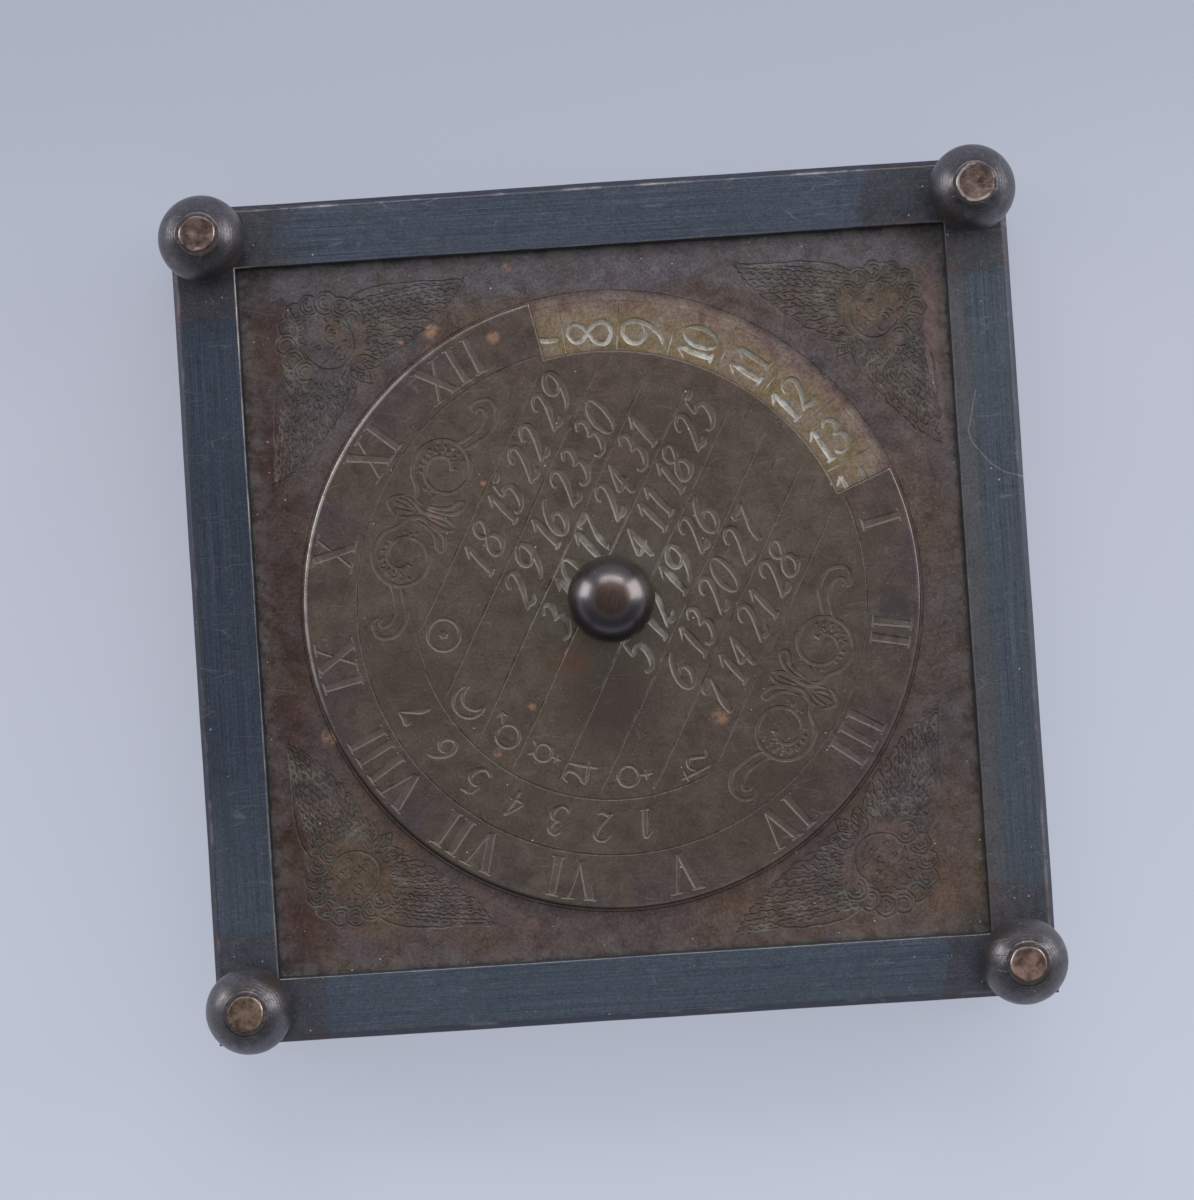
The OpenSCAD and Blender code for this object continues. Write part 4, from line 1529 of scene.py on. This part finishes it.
class Finish(Wiring):
    """A material of its own: places in millimetres, a base colour to paint on, and a Principled surface."""

    def __init__(self, name):
        self.material = bpy.data.materials.new(name)
        self.material.use_nodes = True
        self.material.node_tree.nodes.clear()
        super().__init__(self.material.node_tree)
        raw = self.add("TexCoord").outputs["Object"]
        self.place = self.add("VectorMath", {0: raw, "Scale": 1 / MM}, operation="SCALE").outputs[0]
        split = self.add("SeparateXYZ", {0: self.place}).outputs
        self.x, self.y, self.z = split[0], split[1], split[2]
        far_x, far_y = self.unsigned(self.x), self.unsigned(self.y)
        self.radius = self.vector("LENGTH", self.point(self.x, self.y))
        self.square = self.most(far_x, far_y)
        self.from_pin = self.vector("LENGTH", self.point(self.minus(far_x, PIN_AT),
                                                         self.minus(far_y, PIN_AT)))
        self.old = self.use(tarnish)
        self.marks = self.use(scratches)["Lines"]

    def use(self, group, inputs=None):
        made = self.tree.nodes.new("ShaderNodeGroup")
        made.node_tree = group
        place = {"Place": self.place} if "Place" in made.inputs else {}
        self.give(made, place | (inputs or {}))
        return made.outputs

    def spot(self, x, y, radius):
        return self.use(spot_mark, {"Centre": (x, y, 0), "Radius": radius})["Mask"]

    def blotches(self, *bounds, **more):
        return self.fade(self.old["Mottle"], *bounds, **more)

    def paint(self, colour, *masks):
        """Lays a colour over the base where all the masks let it through."""
        self.base = self.blend(self.times(*masks), self.base, colour)

    def tint(self, colour):
        self.base = self.blend(1.0, self.base, colour, "MULTIPLY")

    def mottled(self, colour, strength):
        return self.use(shaded, {"Colour": opaque(colour), "Mottle": self.old["Mottle"],
                                 "Grain": self.old["Grain"], "Strength": strength})["Colour"]

    def dusted(self, amount, share=1.0):
        specks = self.use(dust, {"Amount": amount})["Specks"]
        self.paint(DUST_GREY, specks, share)
        return specks

    def surface(self, roughness, metallic, height, reach=RELIEF):
        bump = self.add("Bump", {"Height": height, "Strength": 1.0, "Distance": reach * MM})
        shader = self.add("BsdfPrincipled", {"Base Color": self.base, "Roughness": roughness,
                                             "Metallic": metallic, "Normal": bump.outputs[0]})
        self.add("OutputMaterial", {"Surface": shader.outputs[0]})
        print(self.material.name, "has", len(self.tree.nodes), "nodes")
        return self.material

# %% [markdown]
# ## The plate's patina
# Old brass that isn't handled turns brown and violet, and yellow where the disc kept it covered. Towards the
# strips the plate is painted darker with tarnish and painted shade. The corners are nearly black with dirt
# and painted shade, and a painted shadow runs along the strips' inner edges. Each zone is painted over the
# base in turn through a soft mask, because real tarnish has no edges.

# %% Finish the plate
COPPER = (.40, .25, .18)
PALE_DIRT = (.34, .325, .265)
WHITE_DIRT = (.60, .62, .60)
DARK_DIRT = (.064, .064, .058)
GREY_DIRT = (.175, .172, .150)
RING_IN = 28.6
REAR_RING_IN = 21.7
RING_OUT = 36.8
LIGHT_BAND = (40.2, 27.0)  # middle x and y, in millimetres, of a paler stripe along the right strip
PLATE_RUBS = ((-19.5, 33.6, .9), (-23.4, 32.5, .5), (-34.5, -14.0, 1.0), (-10.0, 40.6, .5))


def plate_finish():
    w = Finish("patinated_plate")
    old, marks, dirt = w.old, w.marks, w.use(cut_marks)
    far_x, far_y = w.unsigned(w.x), w.unsigned(w.y)
    violet, brown, olive = (.118, .100, .108), (.136, .102, .086), (.150, .116, .082)
    w.base = w.blend(old["Clouds"], violet, brown)
    warm = w.cloud((.11, 4, .6, .4), .48, .62, smooth=True)
    w.paint(olive, warm, w.fade(w.radius, 38, 46, 0, .7))
    red = w.times(w.fade(w.x, -40, -34, 1, 0, True), w.cloud((.16, 4), .36, .52))
    w.paint((.098, .056, .048), red, .85)
    top = w.times(w.fade(w.y, 35, 39.5, smooth=True), w.blotches(.35, .6, .5, 1))
    w.paint((.132, .132, .158), top, .8)
    # Tarnish and painted shade: the plate is painted darker towards the strips.
    sides = w.times(w.fade(w.square, 37, 41, smooth=True), w.blotches(.38, .62))
    w.paint((.098, .090, .104), sides, .5)
    band_x = w.unsigned(w.minus(w.x, LIGHT_BAND[0]))
    band_y = w.unsigned(w.minus(w.y, LIGHT_BAND[1]))
    pale = w.times(w.fade(band_x, .4, 1.3, 1, 0, True), w.fade(band_y, 8, 13, 1, 0, True))
    w.paint((.215, .150, .152), pale, .7)

    ring_in = w.fade(w.z, MID_Z - .1, MID_Z + .1, REAR_RING_IN, RING_IN)
    in_ring = w.times(w.fade(w.minus(w.radius, ring_in), -.4, .4),
                      w.fade(w.radius, RING_OUT - .6, RING_OUT + .3, 1, 0))
    yellow = w.blend(w.fade(w.radius, 34.0, 35.6), (.305, .240, .138), (.240, .166, .160))
    rosy = w.cloud((.21, 4, .6, .4), .44, .62, 0, .75)
    yellow = w.blend(rosy, yellow, (.262, .178, .122))
    yellow = w.blend(w.blotches(.42, .60, 0, .8), yellow, (.232, .198, .162))
    w.paint(yellow, in_ring, .92)
    low_part = w.blend(w.fade(w.y, -36, -20, 1, 0, True), (1, 1, 1), (1.12, 1.06, 1.03))
    left_part = w.blend(w.fade(w.x, -40, -34, 1, 0, True), (1, 1, 1), (.86, .84, .84))
    w.tint(low_part)
    w.tint(left_part)
    w.base = w.mottled(w.base, .30)

    # Painted shade: a dark painted shadow line along the strips' inner edges, and corners darkened with dirt
    # and painted shade.
    folded = w.point(far_x, far_y)
    from_corner = w.vector("DISTANCE", folded, (42.6, 42.6, 0))
    corner = w.fade(from_corner, 1.5, 5.5, .9, 0)
    gap = w.fade(w.square, 41.8, 42.2, 0, .8)
    painted_shade_and_grime = w.times(w.most(corner, gap), w.blotches(.3, .5, .35, 1))
    w.paint((.036, .033, .030), painted_shade_and_grime)
    haze = w.times(w.fade(w.square, 39.6, 41.6), w.cloud((.7, 4, .6), .42, .60))
    w.paint((.24, .24, .24), haze, .35)
    rubbed = w.most(*(w.spot(*rub) for rub in PLATE_RUBS), w.times(old["Worn"], .12))
    w.paint(COPPER, rubbed)

    outer = w.fade(w.radius, RING_OUT + .5, RING_OUT + 1.4)
    residue = w.blend(w.cloud((.35, 4, .6), .44, .60), DARK_DIRT, GREY_DIRT)
    w.paint(residue, dirt["Filled"], outer, .72)
    white = w.blend(w.fade(w.radius, 31.8, 33.6), WHITE_DIRT, (.21, .24, .22))
    caked = w.cloud((.8, 4, .6), .40, .56, .15, 1)
    filled = w.times(dirt["Filled"], w.most(caked, w.fade(w.radius, 30.6, 31.8, .9, 0)))
    filled = w.most(filled, w.times(dirt["Walls"], .7))
    w.paint(white, filled, in_ring, .85)
    amount = w.most(w.fade(w.square, 36, 42.2, .02, .24), w.fade(w.y, 35, 41, 0, .40), w.times(corner, .75))
    specks = w.dusted(amount)
    w.paint((.34, .28, .25), marks, .22)
    dull = w.most(specks, w.times(dirt["Filled"], .8), w.times(painted_shade_and_grime, .8))
    metallic = w.fade(dull, 0, 1, .85, .05)
    rough = w.plus(w.blotches(.3, .7, .40, .56), w.times(dull, .3))
    height = w.plus(w.times(old["Grain"], .5), old["Mottle"])
    return w.surface(rough, metallic, height)


finishes = {"patinated_plate": plate_finish()}

# %% [markdown]
# ## The discs' patina
# Hands turn the disc by its knob, so the middle holds pale dirt and small spots are rubbed down to copper.
# The rim carries a painted highlight on its upper left and a painted shadow along its lower side, and the
# first stain, just below the knob, is partly painted shade. The spots are placed in the disc's own axes and
# turn with it.

# %% Finish the discs
# Dark stains on the disc; the first, just below the knob, is also painted shade of the knob.
STAINS_AND_KNOB_SHADE = ((-1.0, -12.0, 5.5, .75), (-24.0, -9.0, 5.0, .35), (9.0, 18.0, 5.0, .35), (18.0, -24.0, 6.0, .4))


def on_disc(u, v):
    """Turns a place measured with the window to the right into the disc's own x and y."""
    c, s = math.cos(math.radians(WINDOW_BEARING)), math.sin(math.radians(WINDOW_BEARING))
    return c * u - s * v, s * u + c * v


COPPER_RUBS = [(*on_disc(u, v), r) for u, v, r in ((-19.1, 29.0, .6), (22.7, 25.9, .7), (.7, 23.5, .9),
                                                   (-7.2, -17.5, 1.0), (6.3, 19.7, .35), (-22.2, 4.8, .5),
                                                   (-15.5, 3.4, .5))]
RUST_SPOT = on_disc(-8.8, 1.6)
INKY_SPOT = on_disc(11.5, -32.2)


def disc_finish():
    w = Finish("aged_brass")
    old, marks, dirt = w.old, w.marks, w.use(cut_marks)
    olive, violet, brown = (.138, .116, .094), (.108, .086, .094), (.128, .100, .088)
    w.base = w.blend(old["Clouds"], olive, brown)
    rim = w.fade(w.radius, 30, 36)
    patchy = w.cloud((.09, 4, .6, .5), .42, .56, smooth=True)
    w.paint(violet, rim, patchy)
    w.base = w.mottled(w.base, .20)
    middle_z = (disc_low.z + disc_high.z) / 2
    for x, y, radius, share in STAINS_AND_KNOB_SHADE:
        away = w.vector("DISTANCE", w.place, (x, y, middle_z))
        near = w.fade(away, radius * .4, radius * 1.4, share, 0, True)
        w.paint((.074, .056, .052), near, w.blotches(.36, .54, .35, 1))
    rubbed = w.most(*(w.times(w.spot(*rub), .85) for rub in COPPER_RUBS))
    w.paint(COPPER, rubbed)
    w.paint((.165, .096, .064), w.spot(*RUST_SPOT, 2.4), .75)
    w.paint((.060, .060, .078), w.spot(*INKY_SPOT, 4.2), .6)
    haze = w.times(w.fade(w.radius, 6, 17, 1, 0), w.blotches(.38, .60))
    w.paint((.135, .135, .118), haze, .35)

    middle = w.times(w.fade(w.radius, 5.0, 14, 1, 0, True), w.cloud((.45, 4, .6), .40, .58, .1, 1))
    w.paint((.170, .150, .130), dirt["Floor"], .55)
    outside = w.blend(w.fade(w.radius, 28.5, 30.5), (.228, .198, .168), (.205, .178, .153))
    wall_colour = w.blend(middle, outside, PALE_DIRT)
    w.paint(wall_colour, dirt["Walls"], .68)
    chalk = w.blend(w.fade(w.radius, 8, 14), (.42, .41, .37), PALE_DIRT)
    w.paint(chalk, dirt["Filled"], middle, .62)

    specks = w.dusted(w.cloud((.1, 2), .4, .65, .02, .10))
    w.paint((.36, .31, .26), marks, .25)
    # Painted highlight on the rim's upper left, towards the lamps, and painted shadow along the rim's lower
    # side.
    edge = w.fade(w.radius, DISC_R - .52, DISC_R - .36)
    aimed = w.math("DIVIDE", w.minus(w.times(w.y, .34), w.times(w.x, .94)), DISC_R)
    rim_highlight = w.times(w.fade(aimed, .68, .96, .10, .85, True), w.blotches(.34, .50, .55, 1))
    w.paint((.55, .52, .49), edge, rim_highlight)
    rim_shadow_side = w.fade(w.plus(w.times(w.x, .60), w.times(w.y, .80)), -35, -28, .8, 0)
    w.paint((.040, .044, .038), edge, rim_shadow_side)
    dull = w.most(specks, w.times(dirt["Walls"], .60), w.times(middle, dirt["Filled"]))
    metallic = w.fade(dull, 0, 1, .88, .05)
    rough = w.plus(w.blotches(.3, .7, .36, .50), w.times(dull, .35))
    rough = w.minus(rough, w.times(edge, .12))
    height = w.plus(w.times(old["Grain"], .45), old["Mottle"])
    return w.surface(rough, metallic, height, .014)


finishes["aged_brass"] = disc_finish()

# %% [markdown]
# ## Blued steel
# Steel strips are brushed along their length and heated until they turn blue. The brush marks follow each
# strip, so they use the length and width that were stored on its points; the ends near the balls went brown
# again with handling.

# %% Finish the blued steel
STRIP_TOP = PLATE_T / 2 + STRIP_T
LONG_SCRATCH = ((44.9, 22.2), (44.1, 18.9), (43.7, 17.3), (44.1, 15.9), (46.1, 13.3), (47.6, 12.2),
                (50.2, 11.4))


def steel_finish():
    w = Finish("blued_steel")
    length = w.add("Attribute", attribute_name="strip_length", attribute_type="GEOMETRY").outputs["Fac"]
    across = w.add("Attribute", attribute_name="strip_across", attribute_type="GEOMETRY").outputs["Fac"]
    old, marks = w.old, w.marks
    far_along, height_up = w.unsigned(length), w.unsigned(w.minus(w.z, MID_Z))
    brush_place = w.point(w.times(length, .05), w.times(across, 7.0), w.times(w.square, .02))
    streaks = w.noise(brush_place, 1.0, 5, .72)
    coarse_place = w.point(w.times(length, .03), w.times(across, 1.1), w.x)
    bands = w.noise(coarse_place, 1.0, 3, .6)
    w.base = w.blend(w.fade(streaks, .34, .66), (.056, .078, .122), (.130, .163, .212))
    w.paint((.080, .105, .125), w.fade(bands, .42, .62, 0, .55))
    w.paint((.055, .066, .088), w.blotches(.46, .62, 0, .5))

    left = w.blend(w.fade(w.y, -34, -14), (1.06, 1.09, 1.10), (.76, .76, .80))
    right = w.blend(w.fade(w.x, 41, 43), (1.05, 1.05, 1.03), (1.18, 1.14, 1.09))
    side = w.blend(w.fade(w.x, -46, 46), left, right)
    side = w.blend(w.fade(w.y, -43, -41, 1, 0), side, (1.14, 1.17, 1.18))
    side = w.blend(w.fade(w.y, 41, 43), side, (1.02, 1.00, 1.02))
    w.tint(side)
    inner_part = w.times(w.fade(across, 4.2, 7.0, smooth=True), w.fade(w.x, 41, 43))
    w.paint((.135, .135, .142), inner_part, .75)
    w.base = w.mottled(w.base, .22)

    on_top = w.fade(w.y, 41, 43)
    ragged = w.minus(w.noise(w.place, .22, 5, .65), .5)
    past = w.plus(far_along, w.times(ragged, w.fade(on_top, 0, 1, 3.6, 11.0)))
    past = w.minus(past, w.fade(on_top, 0, 1, 36.2, w.fade(w.x, -10, 10, 34.5, 32.6)))
    sharp = w.math("DIVIDE", past, w.fade(on_top, 0, 1, .9, w.fade(w.x, -10, 10, 4.5, 1.4)))
    browned = w.fade(sharp, 0, 1, smooth=True)
    end_colour = w.blend(on_top, (.098, .086, .100), (.070, .068, .076))
    w.paint(w.mottled(end_colour, .3), browned, w.fade(on_top, 0, 1, .50, .62))
    from_side = w.unsigned(w.minus(across, STRIP_W / 2))
    rusty = w.times(w.fade(from_side, 2.6, 3.4), w.cloud((.5, 4, .6), .46, .58))
    rusty = w.times(rusty, browned, w.fade(far_along, 41, 37))
    w.paint((.165, .098, .078), rusty, .75)
    smear_place = w.vector("MULTIPLY", w.place, (.5, .22, 1))
    smear = w.times(w.fade(far_along, 38, 43), w.fade(w.noise(smear_place, .9, 5, .7), .50, .66))
    w.paint((.26, .27, .30), smear, .35)

    top_edge = w.fade(height_up, STRIP_TOP - .34, STRIP_TOP - .12)
    inner_edge = w.times(w.fade(across, STRIP_W - .38, STRIP_W - .16), top_edge)
    outer_edge = w.fade(across, OUTER_BEVEL + .35, OUTER_BEVEL + .05)
    # The inner edge is worn pale in patches; on the left strip's upper part it also gets a painted highlight.
    rubbed = w.cloud((.35, 4, .6), .38, .58, .30, .95)
    highlight_part = w.times(w.fade(w.x, -41, -40, 1, 0), w.fade(w.y, 0, 14, .4, 1))
    worn_and_highlight_colour = w.blend(highlight_part, (.28, .27, .27), (.78, .74, .72))
    w.paint(worn_and_highlight_colour, inner_edge, rubbed)
    # The outer bevel is painted darker, and a painted highlight with some wear runs along its inner line,
    # stronger on the top strip.
    w.paint((.10, .085, .09), outer_edge, .5)
    from_bevel = w.unsigned(w.minus(across, OUTER_BEVEL))
    bevel_highlight = w.times(w.fade(from_bevel, .0, .30, 1, 0), w.cloud((.16, 4, .65), .50, .66))
    bevel_highlight = w.times(bevel_highlight, w.fade(w.y, 41, 43, .38, .75))
    w.paint((.42, .41, .43), bevel_highlight)

    patches = w.cloud((.08, 2), .5, .7, 0, .08)
    specks = w.dusted(w.plus(w.fade(far_along, 30, 40, .03, .30), patches), .8)
    steps = zip(LONG_SCRATCH, LONG_SCRATCH[1:])
    bent = w.most(*(w.use(scratch_line, {"From": (*a, 0), "To": (*b, 0)})["Mask"] for a, b in steps))
    bent = w.times(bent, w.fade(w.z, MID_Z, MID_Z + .1), w.fade(streaks, .3, .6, .20, .62))
    marks = w.most(w.times(marks, .28), bent)
    w.paint((.33, .36, .40), marks)
    rough = w.plus(w.fade(streaks, .3, .7, .30, .46), w.times(specks, .4))
    metallic = w.fade(specks, 0, 1, .9, 0)
    height = w.minus(w.plus(streaks, w.times(bands, .7)), w.times(marks, .5))
    return w.surface(rough, metallic, height)


finishes["blued_steel"] = steel_finish()

# %% [markdown]
# ## Balls, knobs, pins and washers
# A lathe leaves fine rings, polishing leaves only a trace of them, and hammering removes them. These four
# finishes share the same old marks and differ in colour, rings and roughness.

# %% Finish the turned parts
def ball_finish():
    w = Finish("browned_ball")
    old, marks = w.old, w.marks
    tint = w.cloud((.22, 4, .6, .5), .40, .60, smooth=True)
    w.base = w.blend(tint, (.158, .148, .164), (.168, .149, .141))
    w.paint((.100, .093, .100), w.blotches(.42, .62))
    # Painted shade, with some dirt, in the crease round the pin's seat.
    crease_shade_and_dirt = w.times(w.fade(w.from_pin, COLLAR_R - .2, COLLAR_R + .9, 1, 0, True),
                     w.cloud((.6, 3), .35, .55, .5, 1))
    w.paint((.056, .050, .052), crease_shade_and_dirt, .6)
    scuffed = w.cloud((.55, 5, .68, .6), .54, .68, 0, .6)
    w.paint((.235, .222, .232), scuffed)
    w.base = w.mottled(w.base, .24)
    specks = w.dusted(LIGHT_DUST, .7)
    w.paint((.28, .26, .26), marks, .35)
    rough = w.plus(w.blotches(.3, .7, .29, .44), w.times(specks, .3))
    metallic = w.fade(specks, 0, 1, .85, 0)
    rings = w.use(lathe_rings, {"Pitch": .32})["Height"]
    height = w.plus(w.times(rings, .5), w.minus(old["Mottle"], marks))
    return w.surface(rough, metallic, height)


def knob_finish():
    w = Finish("polished_knob")
    old, marks = w.old, w.marks
    w.base = w.blend(old["Clouds"], (.158, .144, .150), (.172, .150, .145))
    height_up = w.unsigned(w.minus(w.z, MID_Z))
    # Painted reflection: a dark, brushed-looking patch on the knob's top stands for the dark reflection at
    # its middle.
    dark_reflection = w.times(w.fade(w.radius, DARK_REFLECTION_R - .6, DARK_REFLECTION_R + .15, 1, 0),
                  w.fade(height_up, KNOB_CENTRE + 3, KNOB_CENTRE + 3.4))
    fine = w.point(w.times(w.x, 5), w.times(w.y, .8))
    brushed = w.noise(fine, 1.0, 4, .7)
    w.paint(w.blend(w.fade(brushed, .35, .65), (.064, .046, .042), (.112, .082, .072)), dark_reflection)
    specks = w.dusted(LIGHT_DUST, .6)
    rough = w.blotches(.3, .7, .23, .33)
    rough = w.plus(rough, w.most(w.times(dark_reflection, .12), w.times(specks, .4)))
    rings = w.use(lathe_rings, {"Pitch": .22})["Height"]
    uneven = w.times(w.minus(old["Mottle"], marks), .5)
    height = w.plus(w.times(rings, .25), uneven)
    return w.surface(rough, .96, height, .004)


def pin_finish():
    w = Finish("pin_metal")
    old, marks = w.old, w.marks
    patches = w.cloud((.62, 5, .65), .40, .58)
    copper = w.blend(patches, (.078, .056, .050), (.245, .174, .152))
    gold = w.blend(patches, (.100, .072, .057), (.300, .218, .162))
    rosy = w.blend(patches, (.128, .088, .072), (.345, .243, .202))
    w.base = w.blend(w.fade(w.y, -20, 20, 1, 0), copper, w.blend(w.fade(w.x, -20, 20), gold, rosy))
    w.paint((.080, .064, .058), w.blotches(.48, .70, 0, .6))
    w.paint((.50, .43, .37), marks, .18)
    # Painted highlight: a pale rim round each pin's end, where its edge would catch the light.
    rim = w.times(w.fade(w.from_pin, PIN_HEAD_R - .38, PIN_HEAD_R - .14), w.cloud((.5, 3), .44, .56))
    w.paint((.55, .50, .47), rim, .8)
    rough = w.blotches(.3, .7, .30, .46)
    dents = w.minus(w.noise(w.place, 1.1, 4), w.times(marks, .25))
    height = w.plus(w.times(old["Grain"], .6), dents)
    return w.surface(rough, .9, height, .04)


def washer_finish():
    w = Finish("washer_brass")
    old, marks = w.old, w.marks
    w.base = w.blend(old["Clouds"], (.30, .22, .11), (.20, .14, .09))
    w.paint((.5, .4, .25), marks, .5)
    return w.surface(w.blotches(.3, .7, .32, .5), .9, old["Mottle"], .01)


finishes |= {"browned_ball": ball_finish(), "polished_knob": knob_finish(), "pin_metal": pin_finish(),
             "washer_brass": washer_finish()}
print(len(finishes), "finishes")

# %% [markdown]
# ## Put it together
# Every piece takes its finish, stands for its CAD node and rides on that node's body, so that the discs turn
# with their knobs while plate, strips, balls and pins stay put. The two washers keep their CAD meshes.

# %% Dress the frame
def dress(made, body, node, slot):
    made.data.materials.clear()
    made.data.materials.append(finishes[slot])
    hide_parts(node)
    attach(made, body)


dress(plate, "case", "base_plate", "patinated_plate")
dress(disc, "front_dial", "front_disc", "aged_brass")
dress(rear_disc, "rear_dial", "rear_disc", "aged_brass")
dress(knob, "front_dial", "front_knob", "polished_knob")
dress(rear_knob, "rear_dial", "rear_knob", "polished_knob")
dress(arbor, "front_dial", "arbor", "pin_metal")
for group, slot_name in ((strips, "blued_steel"), (balls, "browned_ball"), (pins, "pin_metal")):
    for node, made in group.items():
        dress(made, "case", node, slot_name)
for node in ("front_washer", "rear_washer"):
    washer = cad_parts[node]
    washer.data.materials.clear()
    washer.data.materials.append(finishes["washer_brass"])
